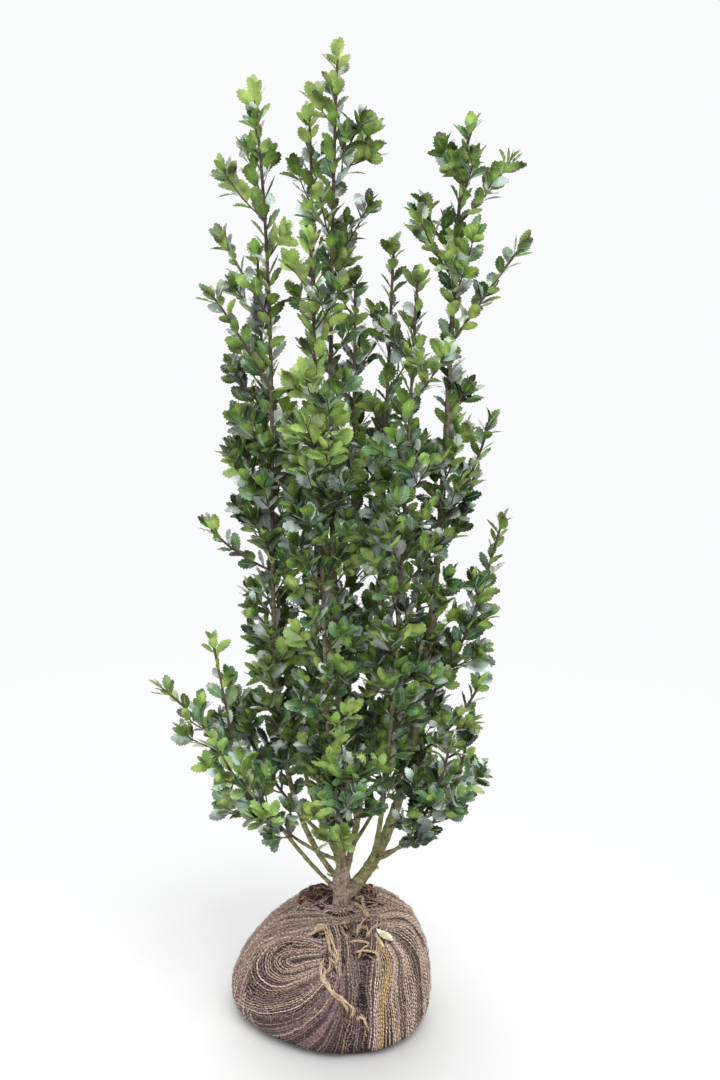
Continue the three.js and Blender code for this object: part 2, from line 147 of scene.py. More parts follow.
# Side shoots, leafy from their foot, which are part of the mass of the stem that carries them
SHOOTS = (
    Stem("right_low", "right", 0.545, (0.235, -0.008, 0.64), (0.262, -0.012, 0.79),
         (0.286, -0.01, 0.87), None, 0.0036, (0.05, 0.055, 0.04)),
    Stem("right_middle", "right", 0.862, (0.222, -0.006, 0.915), (0.248, -0.01, 0.98),
         (0.262, -0.01, 1.035), None, 0.003, (0.05, 0.05, 0.04)),
    Stem("right_top", "right", 1.165, (0.245, -0.004, 1.23), (0.285, -0.002, 1.29),
         (0.308, 0, 1.316), None, 0.003, (0.05, 0.05, 0.04)),
    Stem("left_low", "left", 0.79, (-0.146, -0.026, 0.818), (-0.172, -0.032, 0.846),
         (-0.19, -0.034, 0.866), None, 0.0028, (0.04, 0.04, 0.04)),
    Stem("left_middle", "left", 1.09, (-0.13, -0.018, 1.16), (-0.16, -0.022, 1.22),
         (-0.18, -0.02, 1.24), None, 0.0028, (0.045, 0.045, 0.04)),
    Stem("left_top", "left", 1.205, (-0.13, -0.014, 1.27), (-0.15, -0.012, 1.306),
         (-0.162, -0.01, 1.326), None, 0.0026, (0.04, 0.04, 0.04)),
    Stem("low_left_shoot", "low_left", 0.455, (-0.164, -0.032, 0.52), (-0.178, -0.033, 0.60),
         (-0.191, -0.030, 0.668), None, 0.0026, (0.02, 0.02, 0.02)),
    Stem("low_right_shoot", "right", 0.455, (0.205, -0.006, 0.50), (0.232, -0.008, 0.545),
         (0.256, -0.006, 0.592), None, 0.0028, (0.05, 0.05, 0.04)),
)

# Share of its girth that a bough has where its leaves begin, and how stout some boughs are at their foot
# against the model's
BOUGH_END_SHARE = 0.8
STOUTER = {"right": 1.17, "centre": 0.85, "left": 0.9, "left_inner": 0.8, "front": 0.8}

# Low stems with longer twigs than the model's, stems that run on past the model's tip, and the radius of
# every leafy stem's tip
LONGER_TWIGS = {"low_back": 1.32, "low_back_left": 1.2, "low_back_right": 1.2, "low_front": 1.15}
RUN_ON = {"low_left": 0.020, "low_back": 0.012}
STEM_TIP_RADIUS = 0.0022

# How many sides the tubes have
SIDES = {"twigs": 6, "stems": 10, "bark": 12, "threads": 4, "cross": 3, "fold": 5, "jute": 6}

# Stems up to this radius at their foot have the dark young bark of the twigs
STEM_SLENDER = 0.004

# The rule's own nodes, of which each has one finer node between it and the next
NODE = {"spacing": 0.03, "sides": 5, "spiral": 4 / 5, "leaf_every": 4, "leader": 0.14, "stem_points": 60}
TWIG = {
    "fork": math.radians(48), "rise": 0.75, "lengths": (0.75, 1.15), "shortest": 0.04, "step": 0.012,
    "radius": 0.0018, "tip_radius": 0.001, "of_stem": 0.6, "leaf_room": 0.053, "shrink": 0.85,
}
KEEP_CLEAR = {"space": 0.004, "limb": 0.004, "lowest": 0.215}
CHORDS = 28

# Finer growth than the model's: short twigs between its nodes up to a height, and twiglets on twigs
FINE = {
    "share": 0.7, "up_to": 1.0, "shortest": 0.026, "give": 0.025, "twiglet": 0.045, "thinner": 0.7,
    "twiglet_from": 0.07, "dense_below": 0.62, "dense_from": 0.042, "before_first": 0.75,
    "after_last": 0.9, "first_turn": 0.25, "sway": 0.2,
}
# Leaves: their length, their gaps on twigs and stems, the turn from each to the next, and how much
# further apart they stand on the low left boughs
LEAF = {
    "length": 0.0455, "variety": 0.34, "young": 0.72, "spacing": 0.0105, "first": 0.016,
    "on_leader": 0.0098, "on_old_stem": 0.018, "leader": 0.45, "spiral": 2 / 5, "drift": 0.02,
    "fork": math.radians(40), "tuft": math.radians(40), "tuft_leaves": 7, "tuft_gap": 0.003,
    "tuft_spread": 0.2, "roll": 2.4, "rise": 0.2, "sparse": 1.75, "spray": 5,
}

# Bark: its mesh's voxel, its nodes, the heights between which its colour turns, which count a place aside
# of the trunk as green_aside times as high, and its pores' and streaks' colours
BARK = {
    "voxel": 0.0012, "step": 0.0015, "sunk": 0.006, "node_every": 0.031, "node_length": 0.0035,
    "node_swelling": 0.12, "old_below": 0.285, "old_fade": 0.05, "low": 0.26, "high": 0.46,
    "wander": 0.05, "pore": (0.140, 0.100, 0.065), "pores": (-1.8, 1.5), "blotches": (0.50, 1.50),
    "streak": (0.270, 0.180, 0.095), "streaks": (-1.7, 0.9), "green_aside": 4.0,
}

# The bark's colours from the trunk's foot to its greenest, and those of twigs, as shares of a texture
BARK_COLOURS = (
    (0.0, (0.370, 0.280, 0.235)), (0.32, (0.345, 0.272, 0.215)), (0.5, (0.285, 0.275, 0.140)),
    (1.0, (0.240, 0.255, 0.105)),
)
TWIG_COLOUR = (0.1, 0.06, 0.05)
TWIG_COLOURS = ((0.3, (0.045, 0.024, 0.028)), (0.55, (0.095, 0.062, 0.045)), (0.75, (0.13, 0.11, 0.055)))

# Textures: their scale, their detail, and the share of that scale that counts upwards
Texture = namedtuple("Texture", "scale detail upwards")
BARK_TEXTURES = {
    "wander": Texture(60, 3, 1), "streaks": Texture(55, 3, 0.35), "pores": Texture(420, 3, 0.5),
    "blotches": Texture(75, 4, 1.8), "bump": Texture(900, 3, 1),
}
BARK_FINISH = {"rough": 0.75, "gloss": 0.3, "bump": 0.5, "depth": 0.0006}

# Plainer surfaces: how rough and glossy they are, the texture that deals out their colours, and the
# texture, strength and depth of their bump
Surface = namedtuple("Surface", "rough gloss colours bump strength depth")
TWIG_SURFACE = Surface(0.55, 0.5, Texture(90, 3, 0.25), Texture(900, 3, 1), 0.3, 0.0005)
ROUGH_SURFACE = Surface(0.95, 0.15, Texture(240, 4, 1), Texture(1500, 3, 1), 0.6, 0.0006)

# The bark's relief: lumps, and furrows that are deeper on the trunk
RELIEF = {
    "lump_scale": 110, "lumps": 0.0006, "grain": (520, 520, 130), "furrows": 0.0003, "old_furrows": 0.0011,
    "raised": 0.0002,
}

# How much stouter a stub is at its foot, how far its pale cut reaches into it and out of it, and the
# cut's width as a share of the stub's
STUB = {"stouter": 1.25, "points": 6}
CUT = {"into": 0.001, "out": 0.0006, "width": 0.93}

# Stretches of the leafy stems: lowest and highest point, and colour
STEM_COLOURS = {
    "stems_low": (0.3, 0.75, (0.200, 0.190, 0.115)),
    "stems_middle": (0.75, 1.15, (0.130, 0.105, 0.082)),
    "stems_high": (1.15, 1.7, (0.072, 0.044, 0.047)),
}

# Pruned stubs and dead twiglets: the limb and height that they leave, and where they point
Stub = namedtuple("Stub", "limb height towards length radius cut on_leafy_stem")
STUBS = (
    Stub("right", 0.655, (-0.8, -0.9, 0.35), 0.018, 0.0042, True, True),
    Stub("right", 0.985, (-0.2, -0.9, 0.3), 0.015, 0.0036, True, True),
    Stub("trunk", 0.226, (-0.85, -0.5, 0.75), 0.036, 0.0016, False, False),
    Stub("trunk", 0.236, (-0.35, -0.2, 1.0), 0.040, 0.0015, False, False),
    Stub("left_inner", 0.290, (-0.9, -0.5, 0.5), 0.016, 0.0016, False, False),
    Stub("right", 0.262, (0.6, -0.7, -0.2), 0.016, 0.0030, True, False),
)

# Root ball: [radius, height] outlines of its low left side and its full right side, how far and how
# broadly it sags towards the front right, the shares of its foot's and seat's rings, and the collar of
# gathered wrap round the trunk's foot
BALL = {
    "left": ((0.152, 0), (0.170, 0.014), (0.174, 0.042), (0.156, 0.088), (0.104, 0.150), (0.060, 0.172)),
    "right": ((0.143, 0), (0.160, 0.014), (0.168, 0.046), (0.161, 0.124), (0.132, 0.172), (0.084, 0.184)),
    "sag_towards": math.radians(-62), "sag": 0.25, "sag_power": 3,
    "top": 0.182, "seat": 0.046, "middle": (0, 0, 0.07), "rings": 100, "sides": 230,
    "under_rings": (0.35, 0.7, 0.9), "seat_rings": 22, "seat_from": 0.96, "seat_to": 0.04,
    "collar": 0.010, "collar_radius": 0.023, "collar_width": 0.014, "collar_uneven": 0.9, "collar_scale": 60,
}

# Gathered folds of burlap beside the trunk: centre and half sizes
Fold = namedtuple("Fold", "name node centre size lean lips")
FOLDS = (
    Fold("fold_left_cloth", "burlap_fold_left", (-0.024, 0.034, 0.178), (0.036, 0.024, 0.024), 0.3, 3),
    Fold("fold_right_cloth", "burlap_fold_right", (0.066, 0.030, 0.186), (0.017, 0.017, 0.020), -0.4, 2),
)
FOLD = {
    "least": 0.80, "lip": 0.10, "curl": 1.1, "crumple": 0.32, "crumple_scale": 2.6, "apart": 99,
    "rings": 42, "sides": 72, "threads": 44, "thread_steps": 24, "thread_width": 0.8, "proud": 0.0016,
    "ends": (0.2, 0.5), "wander": 1.4, "winds": 2.3, "tan_share": 0.5,
}

# Creases and hollows of the wrap, as pixels of the photograph that they run through, with their
# half width and depth
Crease = namedtuple("Crease", "pixels width depth")
CREASES = (
    Crease(((324, 943), (327, 962), (333, 985), (342, 1010), (349, 1034), (352, 1052)), 0.011, 0.006),
    Crease(((313, 935), (318, 932), (323, 930)), 0.006, 0.013),
    Crease(((361, 988), (362, 998), (363, 1008)), 0.005, 0.010),
    Crease(((362, 950), (364, 970), (364, 1000), (366, 1030), (366, 1050)), 0.010, 0.005),
    Crease(((344, 930), (347, 926)), 0.006, 0.008),
    Crease(((356, 935), (361, 931), (366, 928)), 0.006, 0.010),
    Crease(((356, 957), (364, 953), (373, 957)), 0.006, 0.009),
    Crease(((287, 944), (291, 942)), 0.005, 0.006),
    Crease(((380, 936), (386, 940), (391, 943)), 0.004, 0.004),
    Crease(((322, 906), (330, 911), (340, 913), (352, 910)), 0.008, 0.006),
)
# How slack and how wavy the wrap is, the height below which it lies flat, and its waves' scales
WRAP = {
    "slack": 0.0015, "waviness": 0.0022, "foot": 0.012, "waves": 26, "fine_waves": 60, "fine_share": 0.5,
    "crease_steps": 24,
}

# Holes in the weave, painted near-black as their shade: pixel of the photograph, half width and half height
# in pixels
Hole = namedtuple("Hole", "x y half_width half_height")
HOLES = (
    Hole(319, 934.5, 7.0, 2.8), Hole(347.5, 928.5, 3.6, 2.6), Hole(362, 932, 4.2, 4.6),
    Hole(361.5, 1002, 3.0, 9), Hole(366, 955.5, 7, 3.2),
)

# The weave's main threads run between guides, given as pixels of the photograph from above to below
# or from left to right. LOOPS lie round the left lobe and FAN from there round to the right.
LOOPS = (
    ((322, 956), (305, 959.2), (294, 960.8), (291, 961.5), (294, 962.2), (305, 960.8), (322, 957)),
    ((322, 953), (302, 956), (290, 957.5), (286, 961.5), (292, 965.5), (304, 963), (322, 958)),
    ((324, 948), (304, 950), (283, 952.6), (276, 962), (284.5, 971), (304, 967), (324, 961)),
    ((326, 943), (318, 943), (287, 938.6), (266, 955), (270.5, 976.5), (293, 979), (324, 964)),
    ((327, 937), (317, 936), (283, 933), (252, 958), (246.7, 979), (266, 995), (293, 989), (325, 968)),
    ((325, 931), (307, 932), (279, 938.5), (245, 961), (235.4, 979), (238, 1000), (266, 1009),
     (298.6, 1000), (326, 976.5)),
    ((323, 926), (304, 927), (272, 934.5), (236, 962), (226, 982), (232, 1001), (264, 1016), (298.6, 1008),
     (328, 980)),
)
FAN = (
    ((226, 985), (232.6, 1000), (248, 1012), (270, 1017), (298.6, 1011.5), (324, 986), (329, 968)),
    ((230, 1001), (248, 1022.8), (273, 1028.4), (304, 1018.6), (326.6, 993), (334, 974)),
    ((240, 1018), (269, 1036.8), (293, 1034), (315.4, 1017), (331, 997.5), (337, 975)),
    ((262, 1042), (280, 1046), (298.6, 1041), (318, 1025.6), (335, 1003), (340, 978)),
    ((290, 1056), (304, 1050), (318, 1038), (332, 1018.6), (339, 997.5), (343, 972)),
    ((316, 1060), (331, 1039.6), (340.7, 1014), (343.5, 986), (345, 965)),
    ((336, 1062), (343.5, 1035), (349, 1007), (350.5, 979), (346, 958)),
    ((352, 1062), (356, 1035), (359, 1007), (358, 979), (354.7, 961)),
    ((366, 1062), (368.7, 1035), (368.7, 1007), (368.7, 983.5), (373, 958)),
    ((381, 1060), (384, 1028), (383.5, 1000), (387, 979), (388.4, 961), (381, 947)),
    ((392.6, 1056), (394, 1028), (390.5, 1000), (392.6, 979), (394, 961), (385.6, 944)),
    ((403, 1048), (404, 1014), (401, 986), (401, 961), (394, 945.6), (385.6, 938.6)),
    ((414, 1034), (415, 1000), (412, 975), (406.6, 955.4), (395.4, 940), (384, 934)),
    ((424, 1016), (423.5, 986), (420.6, 961), (412, 944), (398, 933), (382.8, 930)),
    ((429, 997), (427.7, 972), (423.5, 950), (415, 933), (401, 924.5), (381, 924.5)),
    ((431, 966), (424, 938.6), (412, 923), (399.6, 916), (381, 919)),
    ((427, 938), (415, 919), (398, 911), (378, 915)),
    ((420, 926), (410, 909), (394, 905), (376, 911)),
)
BAND = (
    ((240, 962), (258, 948), (282, 937), (306, 930), (322, 927), (338, 922)),
    ((250, 940), (276, 926), (304, 921.7), (332, 916), (353, 919), (374, 919)),
    ((262, 922), (290, 913), (318, 912), (336.5, 913), (353, 912), (374, 913), (395.4, 907.7), (408, 903.5)),
    ((274, 911), (298.6, 905), (318, 906), (332, 909), (350, 908), (372, 908), (392, 902)),
    ((288, 903), (304, 899), (320, 900), (334, 904), (352, 903), (370, 900), (386, 896)),
)
THROAT = (
    ((314, 920), (321, 932), (324, 948), (325, 974)),
    ((322, 918), (328, 930), (332, 946), (334, 966)),
    ((333, 914), (338, 930), (340, 948), (341, 984)),
    ((346, 914), (349, 930), (350, 948), (350, 976)),
    ((360, 915), (361, 930), (361, 944), (357, 960)),
    ((374, 917), (374, 931), (374, 945), (372, 958)),
    ((384, 918), (383, 931), (382, 944), (380, 956)),
)
# Threads: gaps and steps in pixels of the photograph, radii and heights over the wrap in metres. Up to
# the fan's guide lower_until they take the lower left's dark mix, which is painted shade low on the ball.
THREAD = {
    "pixels_apart": 3.1, "gap_percentile": 75, "missing": 0.03, "guide_steps": 60, "step": 1.0,
    "radius": 0.0013, "thinnest": 0.70, "thicker": 0.55, "cross_radius": 0.0007, "cross_step": 2.6,
    "cross_every": 2.2, "lift": 0.0003, "over": 0.0010, "under": 1.7, "wander": 0.0010,
    "wander_scale": 170, "drift": 0.0018, "drift_scale": 45, "lower_until": 8.3,
    "relief": {"loops": 1.0, "fan": 1.0, "band": 0.65, "throat": 0.8},
}

# Threads on the ball's right and left side, which the camera sees edge on: how far they lie on each side
# of it in radians, how many climb it and how high at its middle and at its edges, and the hoops across
SIDE_THREADS = {
    "turn": 0.75, "count": 72, "low": 0.004, "high": 0.165, "edge_high": 0.035, "edge_fall": 1.4,
    "step": 0.0018, "sway": 0.05, "sway_scale": 30, "hoops_apart": 0.0042, "hoop_step": 0.04,
}
# The ochre stripe and its one bright thread: their places among the fan's guides
STRIPE = {"from": 8.6, "to": 10.4, "bright_from": 8.95, "bright_to": 9.05, "share": 0.8}

# Colours of rough cloth, straw and wood where they are shaded and where they are lit, as far as their
# texture reaches the shares in ROUGH_STOPS
ROUGH_STOPS = (0.32, 0.62)
RoughTone = namedtuple("RoughTone", "shaded lit")
THREAD_TONES = {
    "dark": RoughTone((0.060, 0.042, 0.042), (0.160, 0.115, 0.108)),
    "purple": RoughTone((0.110, 0.070, 0.076), (0.320, 0.222, 0.220)),
    "brown": RoughTone((0.140, 0.102, 0.082), (0.350, 0.275, 0.225)),
    "tan": RoughTone((0.240, 0.172, 0.142), (0.600, 0.465, 0.390)),
    "pale": RoughTone((0.380, 0.285, 0.240), (0.780, 0.630, 0.540)),
    "ochre": RoughTone((0.290, 0.195, 0.120), (0.680, 0.480, 0.310)),
    "yellow": RoughTone((0.400, 0.240, 0.080), (0.700, 0.450, 0.150)),
    # Cross threads lie low between the main threads; their dark colour is partly painted shade of those gaps
    "cross": RoughTone((0.055, 0.038, 0.035), (0.200, 0.150, 0.125)),
}
# The wrap's near-black ground under the threads: painted shade in the gaps between them
GAP_SHADE_TONE = RoughTone((0.016, 0.010, 0.010), (0.055, 0.038, 0.035))
# Near-black in the holes of the weave: painted shade
HOLE_SHADE_TONE = RoughTone((0.026, 0.017, 0.016), (0.026, 0.017, 0.016))
# The folds' cloth: near-black, partly its own dark brown and partly painted shade of the hollow beside the
# trunk
FOLD_CLOTH_AND_SHADE = RoughTone((0.018, 0.010, 0.009), (0.085, 0.052, 0.044))
FOLD_TONES = {
    "tan": RoughTone((0.160, 0.100, 0.075), (0.480, 0.340, 0.250)),
    "brown": RoughTone((0.060, 0.036, 0.030), (0.210, 0.135, 0.110)),
}
STRAW = RoughTone((0.46, 0.32, 0.20), (0.76, 0.59, 0.40))
CUT_WOOD = RoughTone((0.42, 0.33, 0.22), (0.62, 0.52, 0.38))

# Shares of the dark, purple, brown, tan and pale threads in each part of the wrap. The lower left's dark mix
# is painted shade low on the ball; the band on top and the fan round the right take more tan and pale
# threads, partly painted light from above and from the right.
THREAD_SHARES = {
    "loops": (0.08, 0.36, 0.18, 0.28, 0.10), "band": (0.04, 0.24, 0.28, 0.34, 0.10),
    "throat": (0.20, 0.38, 0.24, 0.14, 0.04), "lower": (0.44, 0.34, 0.17, 0.04, 0.01),
    "fan": (0.08, 0.14, 0.04, 0.32, 0.42),
}

# Strewn over the wrap: how many, how long, how thick, how far they stand off, how round, and their tone
Strewn = namedtuple("Strewn", "count lengths radius stand sides tone")
STREWN = {
    "fuzz": Strewn(2000, (0.006, 0.016), 0.00027, 0.0026, 3,
                   RoughTone((0.240, 0.175, 0.140), (0.560, 0.440, 0.360))),
    "straw_bits": Strewn(80, (0.003, 0.010), 0.00055, 0.0012, 5, STRAW),
}

# They lie between two heights on a globe round the ball's middle, and bend as they run
STREW = {"globe": 0.16, "heights": (-0.15, 0.95), "bend": 0.5, "points": 5}

# Loose strands of jute, as pixels of the photograph, with their radius and how high they arch. Each is
# a bundle of fibres that part and meet again.
FIBRES = {
    "count": 5, "radius": 0.50, "apart": 0.0045, "turns": 60, "shift": (7.1, 3.3, 1.7), "stand": 0.0015,
    "arch": (0.04, 0.96), "taper": (0.06, 0.94), "points": 6,
}
Strand = namedtuple("Strand", "pixels radius lift")
JUTE = (
    Strand(((307.3, 936.9), (314.2, 931.4), (319.6, 926), (327.2, 927.3), (330.6, 936.2), (333.4, 944.5),
            (338.2, 958.2), (334.7, 963), (327.9, 956.8)), 0.0012, 0.004),
    Strand(((312.8, 932.8), (326.5, 928), (329.3, 941.7), (330.6, 951.3), (336.8, 959.6)), 0.0011, 0.003),
    Strand(((308, 935.5), (315.5, 929.4), (322, 927.4), (326, 930.5), (328.2, 940), (329, 952)),
           0.001, 0.005),
    Strand(((323.8, 956.8), (321, 967.8), (322.4, 978.8), (329.3, 988.4), (338.9, 995.2), (348.5, 1003.5),
            (353.3, 1010.3), (351.9, 1017.2)), 0.0013, 0.003),
    Strand(((326.5, 967.8), (325.1, 978.8), (333.4, 992.5), (341.6, 1002.1), (347.8, 1011)), 0.0011, 0.003),
    Strand(((327.9, 956.8), (329.9, 967.8), (323.8, 976), (328.6, 984.2), (332.7, 991.1)), 0.001, 0.004),
    Strand(((345.7, 899.2), (356.7, 906.1), (368.3, 917)), 0.0012, 0.006),
    Strand(((349.1, 901.7), (362.2, 899.9), (359.4, 912.9)), 0.001, 0.006),
    Strand(((362.2, 899.2), (363.5, 908.8), (369, 916.4)), 0.001, 0.005),
    Strand(((362.9, 917), (362.2, 922.5), (356, 931.4)), 0.001, 0.004),
    Strand(((355.5, 933), (359.5, 928.5), (363.5, 926.3), (367, 929.4), (367.7, 934.9)), 0.0008, 0.003),
    Strand(((380.7, 924.6), (372.5, 930.8), (367, 937.6)), 0.001, 0.005),
    Strand(((352.6, 941), (362.2, 942), (369, 944.5)), 0.0009, 0.004),
    Strand(((356, 951.3), (367.7, 950.2), (375.9, 954.1), (379.3, 962.3)), 0.0009, 0.004),
    Strand(((358.1, 955.4), (362.2, 948.6), (369, 945.8)), 0.0007, 0.003),
    Strand(((344.3, 926.6), (343.7, 933.5), (347.1, 936.2)), 0.0007, 0.002),
    Strand(((356.7, 1019.2), (362.2, 1018.5), (366.3, 1027.5)), 0.001, 0.003),
    Strand(((362.2, 1015.1), (364, 1020), (367, 1026.8)), 0.0009, 0.003),
    Strand(((375.2, 934.9), (378.5, 940.5), (382.7, 947.2)), 0.0012, 0.003),
    Strand(((409.5, 904.7), (412, 908), (414.3, 911.5)), 0.0018, 0.002),
)

# Fallen leaves on the wrap: the pixels where foot and tip lie, their width to length, height and colour
FallenLeaf = namedtuple("FallenLeaf", "name foot tip width lift colour")
FALLEN_LEAVES = (
    FallenLeaf("fallen_leaf", (375.5, 930), (392, 942.5), 0.85, 0.005, (0.70, 0.70, 0.47)),
    FallenLeaf("fallen_sliver", (374.5, 934), (383, 948), 0.35, 0.004, (0.70, 0.58, 0.28)),
)

# Leaf tones, each with the colour of its glossy face and of its paler underside
TONES = {
    "deep": ((0.009, 0.026, 0.015), (0.052, 0.098, 0.016)),
    "mid": ((0.040, 0.090, 0.043), (0.125, 0.212, 0.034)),
    "bright": ((0.080, 0.172, 0.066), (0.170, 0.280, 0.048)),
    "olive": ((0.135, 0.205, 0.072), (0.255, 0.360, 0.084)),
    "young": ((0.300, 0.452, 0.118), (0.355, 0.485, 0.124)),
    # Its grey face is painted sheen: the reflection of the pale surroundings put into the leaf's own colour
    "silver": ((0.325, 0.392, 0.372), (0.190, 0.290, 0.070)),
}

# Tones that a leaf has now and then in place of its spray's
KINDRED = {
    "deep": ("silver", "mid"), "mid": ("silver", "deep"), "bright": ("silver", "mid"),
    "olive": ("silver", "bright"), "young": ("olive", "young"),
    "silver": ("mid", "bright"),
}
KINDRED_SHARE = 0.24

# How dark and how light leaves get, as shares of their tone: young ones vary less
LEAF_VALUES = (0.22, 1.92)
YOUNG_VALUES = (0.62, 1.42)

# Heights up to which sprays count as low and as middle, height from which the front stem is pale, length
# of a stem's tip, and the stems whose tips are young
TONE_LIMITS = {"low": 0.75, "middle": 1.1, "front": 0.95, "tip": 0.05}
PALE_TIPS = ("front", "centre", "left", "left_inner")

# Shares of the tones, deep to the grey of painted sheen: below 0.75 m, below 1.1 m, above, high up on the
# front stem, and on the low left boughs
TONE_SHARES = {
    "low": (0.13, 0.18, 0.18, 0.21, 0.12, 0.18), "middle": (0.31, 0.21, 0.12, 0.16, 0.09, 0.11),
    "high": (0.11, 0.26, 0.13, 0.26, 0.09, 0.15), "front": (0.02, 0.06, 0.08, 0.24, 0.60, 0.00),
    "left": (0.03, 0.11, 0.15, 0.22, 0.23, 0.26),
}


# Small helpers

def unit(vector):
    return vector / np.linalg.norm(vector)


def between(start, end, share):
    return start + (end - start) * share


def chance(stem, place, use):
    """Repeatable chance between 0 and 1 from three counters, of which any may be a fraction."""
    turns = [counter * turn for counter, turn in zip((stem, place, use), CHANCE["turns"])]
    wave = math.sin(turns[0] + turns[1] + turns[2]) * CHANCE["height"]
    return wave - math.floor(wave)


def dealt(names, shares, pick, rest):
    """The name in whose share of the whole a pick between 0 and 1 falls."""
    for name, share in zip(names, shares):
        pick -= share
        if pick < 0:
            return name
    return rest


def bezier(points, shares):
    """Points along the curve that a few points pull."""
    shares = np.asarray(shares, float)[:, None]
    layers = [np.ones_like(shares) * np.asarray(point, float) for point in points]
    while len(layers) > 1:
        layers = [a * (1 - shares) + b * shares for a, b in zip(layers, layers[1:])]
    return layers[0]


def catmull_rom(points, places):
    """Points on the smooth curve through a row of points, at places counted in points."""
    points = np.asarray(points, float)
    last = len(points) - 1
    first = np.minimum(np.floor(places).astype(int), last - 1)
    share = (places - first)[:, None]
    before, start, end, after = (points[np.clip(first + k, 0, last)] for k in (-1, 0, 1, 2))
    leave, arrive = (end - before) / 2, (after - start) / 2
    cubic = 2 * start - 2 * end + leave + arrive
    square = 3 * end - 3 * start - 2 * leave - arrive
    return cubic * share ** 3 + square * share ** 2 + leave * share + start


def smooth_row(points, steps):
    """Evenly spread places on the smooth curve through a row of points."""
    return catmull_rom(points, np.linspace(0, len(points) - 1, steps))


class Curve:
    """A curve measured by its length, from 0 at its foot to 1 at its tip."""

    STEPS = 200

    def __init__(self, points):
        self.points = bezier(points, np.linspace(0, 1, self.STEPS + 1))
        travelled = np.cumsum(np.linalg.norm(np.diff(self.points, axis=0), axis=1))
        self.length = travelled[-1]
        self.shares = np.concatenate([[0], travelled / self.length])

    def at(self, share):
        return np.array([np.interp(share, self.shares, column) for column in self.points.T])

    def tangent(self, share):
        step = 1 / self.STEPS
        return unit(self.at(min(share + step, 1)) - self.at(max(share - step, 0)))

    def share_at_height(self, height):
        return float(np.interp(height, self.points[:, 2], self.shares))

    def frame(self, share):
        """Place on the curve: its tangent and two directions across it, of which one is level."""
        tangent = self.tangent(share)
        lean = self.points[-1] - self.points[0]
        across = np.cross([lean[0], lean[1], 0], UP)
        across = unit(across - across.dot(tangent) * tangent)
        return self.at(share), tangent, across, np.cross(across, tangent)


# Growing the crown

class Limb:
    """A stem's curve with its bare bough up to entry and its leafy stem above."""

    def __init__(self, index, stem, limbs):
        carrier = trunk_curve() if stem.carrier == "trunk" else limbs[stem.carrier].curve
        foot = carrier.at(carrier.share_at_height(stem.leaves))
        self.index = index
        self.stem = stem
        ahead = unit(np.array(stem.tip) - np.array(stem.upper))
        self.curve = Curve([foot, stem.elbow, stem.upper, stem.tip + ahead * RUN_ON.get(stem.name, 0)])
        self.entry = self.curve.share_at_height(stem.enters) if stem.enters else 0.0
        self.leafy = self.curve.length * (1 - self.entry)

    def share(self, leafy_share):
        return between(self.entry, 1, leafy_share)

    def radius(self, leafy_share):
        return between(self.stem.girth * BOUGH_END_SHARE, STEM_TIP_RADIUS, leafy_share)

    def reach(self, leafy_share):
        reach = np.interp(leafy_share, (0, 0.5, 1), self.stem.reach)
        return reach * min(1, (1 - leafy_share) * self.leafy / NODE["leader"])


def trunk_curve():
    foot, fork = np.array(TRUNK["foot"]), np.array(TRUNK["fork"])
    upright = np.array([foot[0], foot[1], (foot[2] + fork[2]) / 2])
    return Curve([foot, upright, fork])


def grow_limbs():
    limbs = {}
    for index, stem in enumerate(STEMS + SHOOTS):
        limbs[stem.name] = Limb(index, stem, limbs)
    return limbs


class Spaces:
    """Tells whose space a point is in: that of the stem that it is nearest to."""

    def __init__(self, limbs):
        ends = [[limb.curve.at(share) for share in np.linspace(0, 1, CHORDS + 1)] for limb in limbs.values()]
        ends = np.array(ends)
        self.starts = ends[:, :-1]
        self.spans = ends[:, 1:] - ends[:, :-1]
        self.squares = (self.spans ** 2).sum(axis=2)
        self.girths = np.array([limb.stem.girth for limb in limbs.values()])

    def own(self, limb, point, give=0.0):
        if point[2] < KEEP_CLEAR["lowest"]:
            return False
        offsets = point - self.starts
        along = np.clip((offsets * self.spans).sum(axis=2) / self.squares, 0, 1)
        away = np.linalg.norm(offsets - self.spans * along[..., None], axis=2).min(axis=1)
        others = np.arange(len(away)) != limb.index
        clear_of_spaces = away > away[limb.index] + KEEP_CLEAR["space"] - give
        clear_of_limbs = away > self.girths + KEEP_CLEAR["limb"]
        return bool((clear_of_spaces & clear_of_limbs)[others].all())


def branch_direction(frame, turns, angle):
    """Direction that leaves a limb at an angle from its tangent, a share of a full turn round it."""
    _, tangent, across, outward = frame
    turn = turns * 2 * math.pi
    sideways = across * math.sin(turn) + outward * math.cos(turn)
    return tangent * math.cos(angle) + sideways * math.sin(angle)


def leaf_size(limb, place, share=1.0):
    return LEAF["length"] * share * (1 - LEAF["variety"] * chance(limb.index, place, 1))


def sparseness(limb):
    """How much further apart than elsewhere the leaves stand: on the low left boughs."""
    return LEAF["sparse"] if limb.stem.name.startswith("low_left") else 1


Leaf = namedtuple("Leaf", "root turn size shape")


